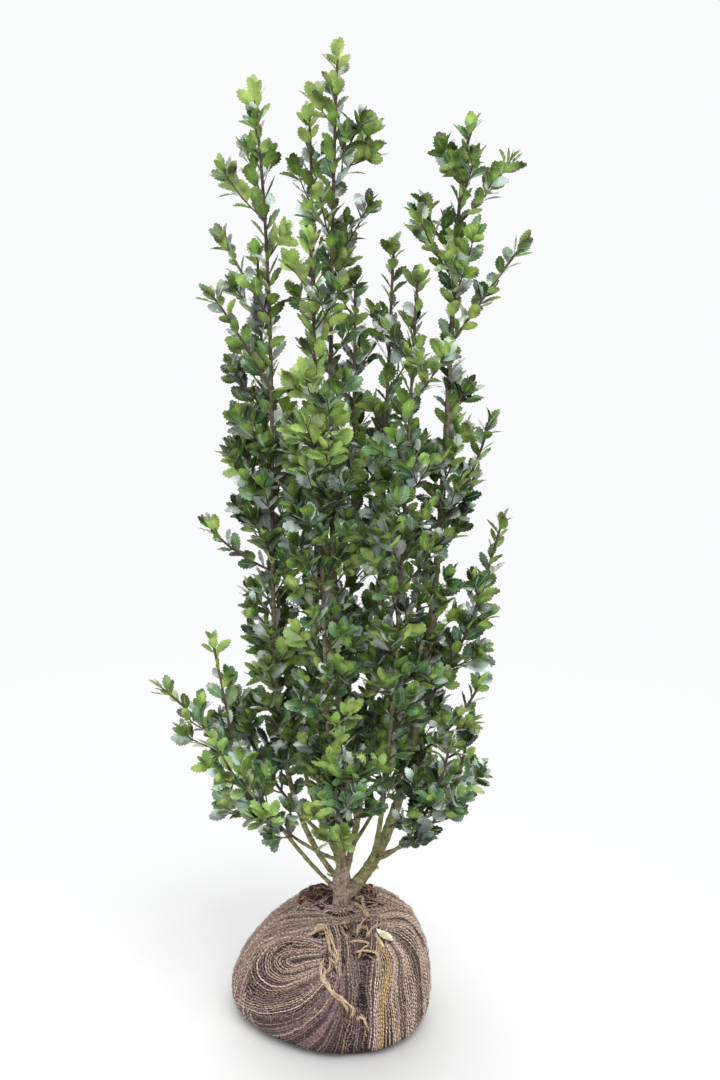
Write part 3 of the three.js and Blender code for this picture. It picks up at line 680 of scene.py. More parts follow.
class Crown:
    """What grows on the limbs: the courses of twigs, and where each leaf of each tone stands."""

    def __init__(self, limbs):
        self.limbs = limbs
        self.spaces = Spaces(limbs)
        self.twigs = []
        self.stems = []
        self.leaves = {tone: [] for tone in TONES}

    def add_leaf(self, limb, frame, along, place, tone, size):
        along = unit(along + UP * LEAF["rise"])
        face = frame[1] + UP
        face = unit(face - face.dot(along) * along)
        roll = LEAF["roll"] * (chance(limb.index, place, 2) - 0.5)
        side = np.cross(along, face)
        face = face * math.cos(roll) + side * math.sin(roll)
        side = np.cross(along, face)
        turn = Matrix(np.array([side, along, face]).T.tolist()).to_quaternion()
        shape = int(chance(limb.index, place, 4) * len(LEAF_SHAPES))
        self.leaves[self.leaf_tone(limb, tone, place)].append(Leaf(frame[0], turn, size, shape))

    def leaf_tone(self, limb, tone, place):
        pick = chance(limb.index, place, 10)
        if pick < KINDRED_SHARE:
            return KINDRED[tone][0]
        if pick > 1 - KINDRED_SHARE:
            return KINDRED[tone][1]
        return tone

    def grow(self):
        for limb in self.limbs.values():
            self.grow_stem(limb)

    def grow_stem(self, limb):
        points = [limb.curve.at(limb.share(share)) for share in np.linspace(0, 1, NODE["stem_points"])]
        radii = [limb.radius(share) for share in np.linspace(0, 1, len(points))]
        (self.twigs if limb.stem.girth <= STEM_SLENDER else self.stems).append((points, radii))
        self.tuft(limb, limb.curve, -1, self.tone(limb, 1.0, -1, tip=True))
        spacing = NODE["spacing"] / 2
        for fine in range(1, int((limb.leafy - LEAF["first"]) / spacing)):
            leafy_share = fine * spacing / limb.leafy
            place = limb.curve.frame(limb.share(leafy_share))
            self.grow_twig(limb, place, fine / 2, leafy_share, fine % 2 == 0)
        self.stem_leaves(limb)

    def stem_leaves(self, limb):
        """Leaves on the stem itself, which stand closer on its leader."""
        left = limb.leafy - LEAF["first"]
        leaf = 0
        while left > LEAF["first"]:
            leafy_share = 1 - left / limb.leafy
            place = limb.curve.frame(limb.share(leafy_share))
            turns = leaf * LEAF["spiral"] + leaf * LEAF["drift"]
            along = branch_direction(place, turns, LEAF["fork"])
            grown_share = min(1, left / NODE["leader"])
            size = leaf_size(limb, leaf + 0.35, between(LEAF["young"], 1, grown_share))
            tone = self.tone(limb, leafy_share, leaf // LEAF["spray"])
            self.add_leaf(limb, place, along, leaf + 0.35, tone, size)
            gap = LEAF["on_leader"] if left < LEAF["leader"] else LEAF["on_old_stem"]
            left -= gap * sparseness(limb)
            leaf += 1

    def grow_twig(self, limb, place, node, leafy_share, own_node):
        """Twig that leaves the stem and rises, shortened until it keeps to its stem's own space."""
        if own_node and node % NODE["leaf_every"] == 0:
            return
        if not own_node and place[0][2] > FINE["up_to"]:
            return
        direction = branch_direction(place, node * NODE["spiral"] + 0.5 / NODE["sides"], TWIG["fork"])
        heading = unit(direction + UP * TWIG["rise"])
        course = unit(direction + heading)
        length = limb.reach(leafy_share) * between(*TWIG["lengths"], chance(limb.index, node, 3))
        length *= LONGER_TWIGS.get(limb.stem.name, 1)
        shortest, give = TWIG["shortest"], 0.0
        if not own_node:
            length *= FINE["share"]
            shortest, give = FINE["shortest"], FINE["give"]
        while length >= shortest:
            end = place[0] + course * length
            leaf_tip = end + course * TWIG["leaf_room"]
            if self.spaces.own(limb, end, give) and self.spaces.own(limb, leaf_tip, give):
                break
            length *= TWIG["shrink"]
        else:
            return
        curve = Curve([place[0], place[0] + direction * length / 2, end])
        tone = self.tone(limb, leafy_share, node)
        radius = min(TWIG["radius"], limb.radius(leafy_share) * TWIG["of_stem"])
        self.leafy_twig(limb, curve, node, tone, radius)
        crowded = place[0][2] < FINE["dense_below"] and not limb.stem.name.startswith("low_left")
        spaced = FINE["dense_from" if crowded else "twiglet_from"]
        if length > spaced:
            self.twiglets(limb, curve, node, tone, radius, spaced)

    def leafy_twig(self, limb, curve, place, tone, radius):
        steps = max(3, int(curve.length / TWIG["step"]))
        shares = np.linspace(0, 1, steps + 1)
        points = [curve.at(share) for share in shares]
        self.twigs.append((points, [between(radius, TWIG["tip_radius"], share) for share in shares]))
        self.tuft(limb, curve, place, tone)
        spacing = LEAF["spacing"] * sparseness(limb)
        count = int((curve.length - LEAF["first"]) / spacing)
        for leaf in range(count):
            share = (LEAF["first"] + leaf * spacing) / curve.length
            spot = curve.frame(share)
            turns = leaf * LEAF["spiral"] + chance(limb.index, place, 6)
            along = branch_direction(spot, turns, LEAF["fork"])
            size = leaf_size(limb, place + leaf / 7)
            self.add_leaf(limb, spot, along, place + leaf / 10 + 0.01, tone, size)

    def twiglets(self, limb, curve, node, tone, radius, spaced):
        """Short side twigs on a long twig, on its two sides in turn."""
        count = int(curve.length / spaced)
        for twiglet in range(count):
            share = (twiglet + FINE["before_first"]) / (count + FINE["after_last"])
            spot = curve.frame(share)
            sway = FINE["sway"] * (chance(limb.index, node, 7 + twiglet) - 0.5)
            turns = FINE["first_turn"] + 0.5 * twiglet + sway
            direction = branch_direction(spot, turns, TWIG["fork"])
            length = FINE["twiglet"] * between(*TWIG["lengths"], chance(limb.index, node, 9 + twiglet))
            end = spot[0] + unit(direction + unit(direction + UP * TWIG["rise"])) * length
            fine = Curve([spot[0], spot[0] + direction * length / 2, end])
            self.leafy_twig(limb, fine, node + 0.3 + twiglet / 5, tone, radius * FINE["thinner"])

    def tuft(self, limb, curve, place, tone):
        """Leaves close together round a twig's or stem's tip."""
        for leaf in range(LEAF["tuft_leaves"]):
            spot = curve.frame(1 - leaf * LEAF["tuft_gap"] / curve.length)
            angle = LEAF["tuft"] * (LEAF["tuft_spread"] + LEAF["tuft_spread"] * leaf)
            along = branch_direction(spot, leaf * LEAF["spiral"] + chance(limb.index, place, 8), angle)
            size = leaf_size(limb, place + leaf / 9, between(LEAF["young"], 1, leaf / LEAF["tuft_leaves"]))
            self.add_leaf(limb, spot, along, place + 0.5 + leaf / 11, tone, size)

    def tone(self, limb, leafy_share, place, tip=False):
        """Tone of a spray: darker low down, paler and younger towards the tips."""
        stem = limb.stem.name
        height = limb.curve.at(limb.share(leafy_share))[2]
        tip = tip or (1 - leafy_share) * limb.leafy < TONE_LIMITS["tip"]
        if tip and not stem.startswith("low"):
            return "young" if stem in PALE_TIPS else "olive"
        if stem == "front" and height > TONE_LIMITS["front"]:
            part = "front"
        elif stem.startswith("low_left"):
            part = "left"
        elif height < TONE_LIMITS["middle"]:
            part = "low" if height < TONE_LIMITS["low"] else "middle"
        else:
            part = "high"
        return dealt(TONES, TONE_SHARES[part], chance(limb.index, place, 5), "mid")


# Leaves

# Shapes that the leaves take turns in: bend along the leaf, fold along its midrib, wave of its margin
LeafShape = namedtuple("LeafShape", "bend fold wave")
LEAF_SHAPES = (
    LeafShape(0.10, 0.12, 0.012), LeafShape(0.24, 0.10, 0.018), LeafShape(0.55, 0.22, 0.014),
    LeafShape(-0.20, 0.16, 0.022), LeafShape(0.34, 0.26, 0.016), LeafShape(0.16, 0.07, 0.020),
)
FALLEN_SHAPE = LeafShape(-0.12, 0.06, 0.004)
LEAF_OUTLINE = {
    "stalk": 0.10, "stalk_width": 0.022, "rows": 12, "from": 0.15, "to": 0.955, "half_width": 0.258,
    "fullest": 1.08, "roundness": 0.62, "spine_out": 1.14, "spine_forward": 0.040, "valley_in": 0.87,
    "thickness": 0.022, "flat_tip": 0.3, "waves": 1.5,
}

# Midrib and margin as shares of half the leaf's width, and how far they pale to their colour
LEAF_VEIN = {"midrib": 0.10, "margin": 0.07, "colour": (0.50, 0.60, 0.28), "share": 0.4}

# How rough, glossy and waxy the leaves' sides are
Finish = namedtuple("Finish", "rough gloss wax")
FACE = Finish(0.30, 0.6, 1.0)
UNDERSIDE = Finish(0.50, 0.3, 0.0)
FALLEN = Finish(0.60, 0.3, 0.0)

# The leaves' textures, the depth of their blisters, and the wax's sheen and roughness
LEAF_SURFACE = {
    "tones": Texture(38, 1, 1), "blisters": Texture(260, 3, 1), "bump": 0.35, "depth": 0.0012,
    "smoother": 0.06, "rougher": 0.1,
    "wax_rough": 0.16, "sheen": 0.3, "sheen_rough": 0.35,
}


def leaf_rows():
    """Rows across a leaf of length 1: its place along the leaf, its half width and its spine's lead."""
    rows = [(LEAF_OUTLINE["stalk"], LEAF_OUTLINE["stalk_width"], 0.0)]
    for row in range(LEAF_OUTLINE["rows"]):
        along = between(LEAF_OUTLINE["from"], LEAF_OUTLINE["to"], row / (LEAF_OUTLINE["rows"] - 1))
        share = (along - LEAF_OUTLINE["stalk"]) / (1 - LEAF_OUTLINE["stalk"])
        swell = math.sin(math.pi * share ** LEAF_OUTLINE["fullest"]) ** LEAF_OUTLINE["roundness"]
        spine = row % 2 == 1
        width = LEAF_OUTLINE["half_width"] * swell * LEAF_OUTLINE["spine_out" if spine else "valley_in"]
        rows.append((along, width, LEAF_OUTLINE["spine_forward"] if spine else 0.0))
    return rows


def leaf_mesh(name, shape):
    """Closed leaf of length 1 along Y that faces +Z, folded along its midrib and bent along its length."""
    points, upper, under = [(0, 0, 0)], [], []
    for row, (along, width, lead) in enumerate(leaf_rows()):
        wave = shape.wave * math.sin(row * LEAF_OUTLINE["waves"])
        flattening = min(1, (1 - along) / LEAF_OUTLINE["flat_tip"])
        edge = (width * shape.fold + wave) * flattening
        points.append((-width, along + lead, edge))
        points.append((0, along, 0))
        points.append((width, along + lead, edge - wave * flattening))
        points.append((0, along, -LEAF_OUTLINE["thickness"] * flattening))
    points.append((0, 1, 0))
    per_row, last = 4, len(points) - 1
    for row in range(len(leaf_rows()) - 1):
        here, there = 1 + row * per_row, 1 + (row + 1) * per_row
        upper += [(here + i, here + i + 1, there + i + 1, there + i) for i in range(2)]
        under += [(here + 3, here, there, there + 3), (here + 2, here + 3, there + 3, there + 2)]
    end = last - per_row
    upper += [(0, 2, 1), (0, 3, 2), (end, end + 1, last), (end + 1, end + 2, last)]
    under += [(0, 1, 4), (0, 4, 3), (end + 3, end, last), (end + 2, end + 3, last)]
    mesh = bpy.data.meshes.new(name)
    mesh.from_pydata([bent(point, shape.bend) for point in points], [], upper + under)
    mesh.polygons.foreach_set("use_smooth", [True] * len(mesh.polygons))
    flags = mesh.attributes.new("underside", "BOOLEAN", "FACE")
    flags.data.foreach_set("value", [False] * len(upper) + [True] * len(under))
    across = mesh.attributes.new("across", "FLOAT", "POINT")
    across.data.foreach_set("value", [0.0, *(1.0, 0.0, 1.0, 0.0) * len(leaf_rows()), 0.0])
    mark_sharp(mesh, upper, under)
    return mesh


def bent(point, bend):
    """A point of a flat leaf rolled back round a bar across it."""
    x, y, z = point
    sine, cosine = math.sin(bend * y), math.cos(bend * y)
    return (x, sine / bend + z * sine, z * cosine - (1 - cosine) / bend)


def mark_sharp(mesh, upper, under):
    """Keeps the leaf's rim crisp, where its two sides meet."""
    def edges(faces):
        return {frozenset(pair) for face in faces for pair in zip(face, face[1:] + face[:1])}
    rim = edges(upper) & edges(under)
    sharp = mesh.attributes.new("sharp_edge", "BOOLEAN", "EDGE")
    sharp.data.foreach_set("value", [frozenset(edge.vertices) in rim for edge in mesh.edges])


# Making materials

# The values between which nearly all of a texture lies
TEXTURE_RANGE = (0.3, 0.7)


def shader(name, colour, roughness, **sockets):
    """A new material, its tree and its shader, with values that are the same all over set on its sockets."""
    material = bpy.data.materials.new(name)
    material.use_nodes = True
    principled = material.node_tree.nodes["Principled BSDF"]
    for socket, value in {"Base Color": (*colour, 1), "Roughness": roughness, **sockets}.items():
        principled.inputs[socket.replace("_", " ")].default_value = value
    return material, material.node_tree, principled


def object_noise(tree, texture):
    """Noise on the object's own coordinates."""
    place = output(add_node(tree, "ShaderNodeTexCoord"), "Object")
    drawn = add_node(tree, "ShaderNodeMapping", Vector=place, Scale=(1, 1, texture.upwards))
    fuzz = add_node(tree, "ShaderNodeTexNoise", Vector=output(drawn, "Vector"), Scale=texture.scale,
                    Detail=texture.detail)
    return output(fuzz, "Fac")


def add_bump(tree, principled, height, strength, distance):
    bump = add_node(tree, "ShaderNodeBump", Strength=strength, Distance=distance, Height=height)
    feed(tree, principled, Normal=output(bump, "Normal"))


def spread(tree, value, low, high):
    """A texture's middle range opened out to run from low to high."""
    start, end = TEXTURE_RANGE
    ranges = add_node(tree, "ShaderNodeMapRange", Value=value, From_Min=start, From_Max=end, To_Min=low,
                      To_Max=high)
    return output(ranges, "Result")


def summed(tree, value, times, other):
    """A value some times over, added to another."""
    inputs = (value, times, other)
    return output(add_node(tree, "ShaderNodeMath", {"operation": "MULTIPLY_ADD"}, inputs), "Value")


def leaf_material(name, colour, finish, values=LEAF_VALUES):
    """Blistered leaf with a paler midrib and margin, whose tone varies from leaf to leaf."""
    surface = LEAF_SURFACE
    material, tree, principled = shader(
        name, colour, finish.rough, Specular_IOR_Level=finish.gloss, Coat_Weight=finish.wax,
        Coat_Roughness=surface["wax_rough"], Sheen_Weight=surface["sheen"] * finish.wax,
        Sheen_Roughness=surface["sheen_rough"])
    across = add_node(tree, "ShaderNodeAttribute", {"attribute_name": "across"})
    pale = tuple(between(np.array(colour), np.array(LEAF_VEIN["colour"]), LEAF_VEIN["share"]))
    stops = ((0, pale), (LEAF_VEIN["midrib"], colour), (1 - LEAF_VEIN["margin"], colour), (1, pale))
    value = spread(tree, object_noise(tree, surface["tones"]), *values)
    tone = add_node(tree, "ShaderNodeHueSaturation", Value=value,
                    Color=ramp(tree, output(across, "Fac"), stops))
    blisters = object_noise(tree, surface["blisters"])
    add_bump(tree, principled, blisters, surface["bump"], surface["depth"])
    roughness = spread(tree, blisters, finish.rough - surface["smoother"], finish.rough + surface["rougher"])
    feed(tree, principled, Base_Color=output(tone, "Color"), Roughness=roughness)
    return material


def ramp(tree, value, stops):
    """Colours dealt out by a value."""
    colours = add_node(tree, "ShaderNodeValToRGB", Fac=value)
    elements = colours.color_ramp.elements
    while len(elements) < len(stops):
        elements.new(0.5)
    for element, (position, colour) in zip(elements, stops):
        element.position = position
        element.color = (*colour, 1)
    return output(colours, "Color")


def textured(name, colour, stops, surface):
    """A material whose colours a texture deals out, with another texture as its bump."""
    material, tree, principled = shader(name, colour, surface.rough, Specular_IOR_Level=surface.gloss)
    feed(tree, principled, Base_Color=ramp(tree, object_noise(tree, surface.colours), stops))
    add_bump(tree, principled, object_noise(tree, surface.bump), surface.strength, surface.depth)
    return material


def rough(name, tone):
    """Cloth, straw or wood, whose colour varies between shaded and lit from place to place."""
    stops = zip(ROUGH_STOPS, tone)
    return textured(name, tone.lit, tuple(stops), ROUGH_SURFACE)


# Building meshes by Geometry Nodes

def new_tree(name, **sockets):
    """An empty tree with named inputs."""
    tree = bpy.data.node_groups.new(name, "GeometryNodeTree")
    tree.interface.new_socket("Geometry", in_out="INPUT", socket_type="NodeSocketGeometry")
    for title, kind in sockets.items():
        tree.interface.new_socket(title, in_out="INPUT", socket_type="NodeSocket" + kind)
    tree.interface.new_socket("Geometry", in_out="OUTPUT", socket_type="NodeSocketGeometry")
    return tree


def add_node(tree, kind, settings=None, first=(), **inputs):
    """Adds a node. Inputs, and those that go to its first sockets, are values or other nodes' outputs."""
    node = tree.nodes.new(kind)
    for name, value in (settings or {}).items():
        setattr(node, name, value)
    for socket, value in zip(node.inputs, first):
        fill(tree, socket, value)
    feed(tree, node, **inputs)
    return node


def feed(tree, node, **inputs):
    for name, value in inputs.items():
        fill(tree, next(s for s in node.inputs if s.name == name.replace("_", " ") and s.enabled), value)


def fill(tree, socket, value):
    if isinstance(value, bpy.types.NodeSocket):
        tree.links.new(value, socket)
    else:
        socket.default_value = value


def output(node, name):
    return next(s for s in node.outputs if s.name == name and s.enabled)


def named(tree, name, kind):
    node = add_node(tree, "GeometryNodeInputNamedAttribute", {"data_type": kind}, Name=name)
    return output(node, "Attribute")


def placed(name, data):
    """A new object in the scene."""
    thing = bpy.data.objects.new(name, data)
    bpy.context.scene.collection.objects.link(thing)
    return thing


def evaluated(thing):
    """The mesh that an object's modifiers make."""
    graph = bpy.context.evaluated_depsgraph_get()
    return bpy.data.meshes.new_from_object(thing.evaluated_get(graph), depsgraph=graph)


def grown(name, points, tree, values, edges=(), attributes=()):
    """Plain mesh that a tree makes from points with attributes."""
    mesh = bpy.data.meshes.new(name)
    mesh.from_pydata([tuple(point) for point in points], list(edges), [])
    for title, kind, field, data in attributes:
        mesh.attributes.new(title, kind, "POINT").data.foreach_set(field, np.asarray(data).ravel())
    seed = placed(name, mesh)
    modifier = seed.modifiers.new(name, "NODES")
    modifier.node_group = tree
    for item in tree.interface.items_tree:
        if item.in_out == "INPUT" and item.name in values:
            modifier[item.identifier] = values[item.name]
    result = evaluated(seed)
    seed.modifiers.remove(modifier)
    seed.data = result
    bpy.data.meshes.remove(mesh)
    result.name = name
    return seed


def tube_tree():
    """Tree for tubes along courses: each point's radius is its own."""
    tree = new_tree("Tubes", Sides="Int", Bark="Material")
    given = tree.nodes.new("NodeGroupInput")
    course = add_node(tree, "GeometryNodeMeshToCurve", Mesh=given.outputs["Geometry"])
    ring = add_node(tree, "GeometryNodeCurvePrimitiveCircle", Resolution=given.outputs["Sides"], Radius=1.0)
    tube = add_node(tree, "GeometryNodeCurveToMesh", Curve=course.outputs["Curve"], Fill_Caps=True,
                    Profile_Curve=ring.outputs["Curve"], Scale=named(tree, "radius", "FLOAT"))
    smooth = add_node(tree, "GeometryNodeSetShadeSmooth", Geometry=tube.outputs["Mesh"])
    real = add_node(tree, "GeometryNodeRealizeInstances", Geometry=smooth.outputs["Geometry"])
    barked = add_node(tree, "GeometryNodeSetMaterial", Geometry=real.outputs["Geometry"],
                      Material=given.outputs["Bark"])
    add_node(tree, "NodeGroupOutput", Geometry=barked.outputs["Geometry"])
    return tree


def leaf_tree():
    """Tree for leaves: at each point one of the shapes, turned and sized as the point says."""
    tree = new_tree("Leaves", Shapes="Collection", Face="Material", Underside="Material")
    given = tree.nodes.new("NodeGroupInput")
    shapes = add_node(tree, "GeometryNodeCollectionInfo", Collection=given.outputs["Shapes"],
                      Separate_Children=True, Reset_Children=True)
    leaves = add_node(tree, "GeometryNodeInstanceOnPoints", Points=given.outputs["Geometry"],
                      Instance=shapes.outputs["Instances"], Pick_Instance=True,
                      Instance_Index=named(tree, "shape", "INT"), Rotation=named(tree, "turn", "QUATERNION"),
                      Scale=named(tree, "size", "FLOAT"))
    real = add_node(tree, "GeometryNodeRealizeInstances", Geometry=leaves.outputs["Instances"])
    faced = add_node(tree, "GeometryNodeSetMaterial", Geometry=real.outputs["Geometry"],
                     Material=given.outputs["Face"])
    backed = add_node(tree, "GeometryNodeSetMaterial", Geometry=faced.outputs["Geometry"],
                      Selection=named(tree, "underside", "BOOLEAN"), Material=given.outputs["Underside"])
    add_node(tree, "NodeGroupOutput", Geometry=backed.outputs["Geometry"])
    return tree


def courses_as_points(courses):
    points, edges, radii = [], [], []
    for course, course_radii in courses:
        first = len(points)
        points += list(course)
        radii += list(course_radii)
        edges += [(i, i + 1) for i in range(first, len(points) - 1)]
    return points, edges, radii


def tubes(name, courses, tree, sides, material):
    points, edges, radii = courses_as_points(courses)
    values = {"Sides": sides, "Bark": material}
    return grown(name, points, tree, values, edges, [("radius", "FLOAT", "value", radii)])


def make_leaves(crown, nodes):
    shapes = bpy.data.collections.new("leaf_shapes")
    for number, shape in enumerate(LEAF_SHAPES):
        name = f"leaf_shape_{number}"
        shapes.objects.link(bpy.data.objects.new(name, leaf_mesh(name, shape)))
    tree = leaf_tree()
    for tone, (face, underside) in TONES.items():
        leaves = crown.leaves[tone]
        light = YOUNG_VALUES if tone == "young" else LEAF_VALUES
        values = {
            "Shapes": shapes,
            "Face": leaf_material(f"leaf_{tone}", face, FACE, light),
            "Underside": leaf_material(f"leaf_{tone}_underside", underside, UNDERSIDE, light),
        }
        attributes = [
            ("turn", "QUATERNION", "value", [tuple(leaf.turn) for leaf in leaves]),
            ("size", "FLOAT", "value", [leaf.size for leaf in leaves]),
            ("shape", "INT", "value", [leaf.shape for leaf in leaves]),
        ]
        piece = grown(f"leaves_{tone}", [leaf.root for leaf in leaves], tree, values, (), attributes)
        finish_piece(piece, nodes)
    for sample in list(shapes.objects):
        bpy.data.objects.remove(sample)
    bpy.data.collections.remove(shapes)


def finish_piece(piece, nodes):
    for attribute in list(piece.data.attributes.keys()):
        if attribute in ("turn", "size", "shape", "underside", "radius"):
            piece.data.attributes.remove(piece.data.attributes[attribute])
    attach(piece, "root")
    if nodes:
        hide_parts(*nodes)


# Burlapped root ball

def photo_ray(pixel):
    """The camera's place and the direction in which it sees a pixel of the photograph."""
    focal = PHOTO["height"] * CAMERA["lens"] / CAMERA["sensor"]
    right = (pixel[0] - PHOTO["width"] / 2) / focal
    up = (PHOTO["height"] / 2 - pixel[1]) / focal
    tilt = CAMERA["tilt"]
    ahead = (right, math.cos(tilt) + up * math.sin(tilt), up * math.cos(tilt) - math.sin(tilt))
    return Vector(CAMERA["place"]), Vector(ahead).normalized()


def photo_pixels(points):
    """The pixels of the photograph at which the camera sees points."""
    focal = PHOTO["height"] * CAMERA["lens"] / CAMERA["sensor"]
    right, forth, up = (points - np.array(CAMERA["place"])).T
    tilt = CAMERA["tilt"]
    ahead = forth * math.cos(tilt) - up * math.sin(tilt)
    rise = forth * math.sin(tilt) + up * math.cos(tilt)
    across = PHOTO["width"] / 2 + focal * right / ahead
    return np.stack([across, PHOTO["height"] / 2 - focal * rise / ahead], axis=1)


def in_a_hole(pixels):
    """Which pixels of the photograph lie in a hole of the weave."""
    inside = np.zeros(len(pixels), bool)
    for hole in HOLES:
        offset = (pixels - (hole.x, hole.y)) / (hole.half_width, hole.half_height)
        inside |= (offset ** 2).sum(axis=1) < 1
    return inside


def ringed_solid(rings, first, last):
    """Closed solid from rings of points that turn left round its axis, with a point at each end."""
    count = len(rings[0])
    points = [tuple(point) for point in (first, *np.concatenate(rings), last)]
    faces = []
    for side in range(count):
        other = (side + 1) % count
        faces.append((0, 1 + other, 1 + side))
        for row in range(len(rings) - 1):
            low, high = 1 + row * count, 1 + (row + 1) * count
            faces.append((low + side, low + other, high + other, high + side))
        end = 1 + (len(rings) - 1) * count
        faces.append((end + side, end + other, len(points) - 1))
    return points, faces


def ball_rings():
    """Rings of the ball's skin: across its underside, up its wall and across its seat."""
    left, right = (smooth_row((*BALL[side], (BALL["seat"], BALL["top"])), BALL["rings"] + 1)
                   for side in ("left", "right"))
    turns = np.linspace(0, 2 * math.pi, BALL["sides"], endpoint=False)
    facing = np.clip(np.cos(turns - BALL["sag_towards"]), 0, None)
    sag = 1 + BALL["sag"] * facing ** BALL["sag_power"]
    wall = []
    for low, full in zip(left, right):
        outline = between(low[:, None], full[:, None], (1 + np.cos(turns)) / 2)
        radius = outline[0] * sag
        wall.append(np.stack([radius * np.cos(turns), radius * np.sin(turns), outline[1]], axis=1))
    under = [wall[0] * (share, share, 1) for share in BALL["under_rings"]]
    seat_shares = np.linspace(BALL["seat_from"], BALL["seat_to"], BALL["seat_rings"])
    seat = [wall[-1] * (share, share, 1) for share in seat_shares]
    return under + [with_collar(ring) for ring in wall + seat]


def with_collar(ring):
    """A ring of the skin, raised where the wrap is gathered round the trunk's foot."""
    away = np.linalg.norm((ring - np.array(TRUNK["foot"]))[:, :2], axis=1)
    hill = np.exp(-((away - BALL["collar_radius"]) / BALL["collar_width"]) ** 2)
    lumps = np.array([noise.noise(Vector(point) * BALL["collar_scale"]) for point in ring])
    uneven = 1 + BALL["collar_uneven"] * lumps
    return ring + UP * (BALL["collar"] * hill * uneven * (ring[:, 2] > BALL["collar"]))[:, None]


def crumpled(points, smooth):
    """The skin pushed in along its creases, and a little and unevenly everywhere but on its underside."""
    inwards = np.array(BALL["middle"]) - points
    inwards /= np.linalg.norm(inwards, axis=1)[:, None]
    waves = np.array([noise.noise(Vector(point) * WRAP["waves"]) for point in points])
    fine_waves = np.array([noise.noise(Vector(point) * WRAP["fine_waves"]) for point in points])
    waves = waves + WRAP["fine_share"] * fine_waves
    depth = WRAP["slack"] + WRAP["waviness"] * np.clip(0.5 + waves, 0, 2)
    for crease in CREASES:
        course = np.array([smooth.seen(pixel) for pixel in smooth_row(crease.pixels, WRAP["crease_steps"])])
        away = np.linalg.norm(points[:, None] - course[None], axis=2).min(axis=1)
        depth += crease.depth * np.exp(-(away / crease.width) ** 2)
    depth *= np.clip(points[:, 2] / WRAP["foot"], 0, 1)
    return points + inwards * depth[:, None]


class Skin:
    """A surface that threads are laid on."""

    def __init__(self, points, faces):
        self.tree = BVHTree.FromPolygons(points, faces)

    def seen(self, pixel):
        """Where the camera sees the surface at a pixel, or its nearest point beside its outline."""
        place, ahead = photo_ray(pixel)
        hit = self.tree.ray_cast(place, ahead)[0]
        if hit is None:
            middle = Vector(BALL["middle"])
            hit = self.tree.find_nearest(place + ahead * (middle - place).dot(ahead))[0]
        return hit

    def lifted(self, point, lift):
        """The surface's nearest place to a point, raised off it."""
        hit, normal = self.tree.find_nearest(point)[:2]
        return hit + normal * lift


def threads_between(guides):
    """Rows of pixels that lead over from each guide to the next, with their places among the guides."""
    smooth = [smooth_row(guide, THREAD["guide_steps"]) for guide in guides]
    rows, places = [], []
    for number, (one, other) in enumerate(zip(smooth, smooth[1:])):
        gap = np.percentile(np.linalg.norm(one - other, axis=1), THREAD["gap_percentile"])
        count = max(1, round(gap / THREAD["pixels_apart"]))
        for step in range(count):
            rows.append(between(one, other, step / count))
            places.append(number + step / count)
    return np.array([*rows, smooth[-1]]), [*places, len(guides) - 1]


def evenly(row, step):
    """A row of pixels, spread evenly along its length."""
    travelled = np.concatenate([[0], np.cumsum(np.linalg.norm(np.diff(row, axis=0), axis=1))])
    places = np.linspace(0, travelled[-1], max(3, round(travelled[-1] / step)))
    return np.stack([np.interp(places, travelled, column) for column in row.T], axis=1)


def thread_tone(family, place):
    if family == "fan" and STRIPE["from"] < place < STRIPE["to"]:
        if STRIPE["bright_from"] < place < STRIPE["bright_to"]:
            return "yellow"
        if chance(1, place * 5, 1) < STRIPE["share"]:
            return "ochre"
    # The lower left's darker mix is painted shade
    lower = family == "fan" and place < THREAD["lower_until"]
    shares = THREAD_SHARES["lower" if lower else family]
    return dealt(THREAD_TONES, shares, chance(len(family), place * 7, 1), "brown")


def thread_radius(family, place):
    return THREAD["radius"] * (THREAD["thinnest"] + THREAD["thicker"] * chance(family, place, 2))


def laid(row, step, smooth, wrap, heights, radius):
    """A thread as courses on the wrap's front, broken at holes, and the same mirrored on its back."""
    row = evenly(row, step)
    spots = [None if hole else smooth.seen(pixel) for pixel, hole in zip(row, in_a_hole(row))]
    runs, run = [], []
    for place, spot in enumerate(spots):
        if spot is not None and spot.y <= 0:
            run.append((spot, heights[place % len(heights)]))
        elif run:
            runs.append(run)
            run = []
    runs = [run for run in [*runs, run] if len(run) > 2]
    for side in (1, -1):
        for run in runs:
            yield [on_wrap(Vector((spot.x, spot.y * side, spot.z)), height, wrap, radius)
                   for spot, height in run]


def on_wrap(spot, height, wrap, radius):
    """A thread's point: drifted and wandering a little, at a height over the wrap, and clear of the floor."""
    wander = noise.noise_vector(spot * THREAD["wander_scale"]) * THREAD["wander"]
    drift = noise.noise_vector(spot * THREAD["drift_scale"]) * THREAD["drift"]
    point = wrap.lifted(spot + wander + drift, height)
    point.z = max(point.z, radius)
    return point


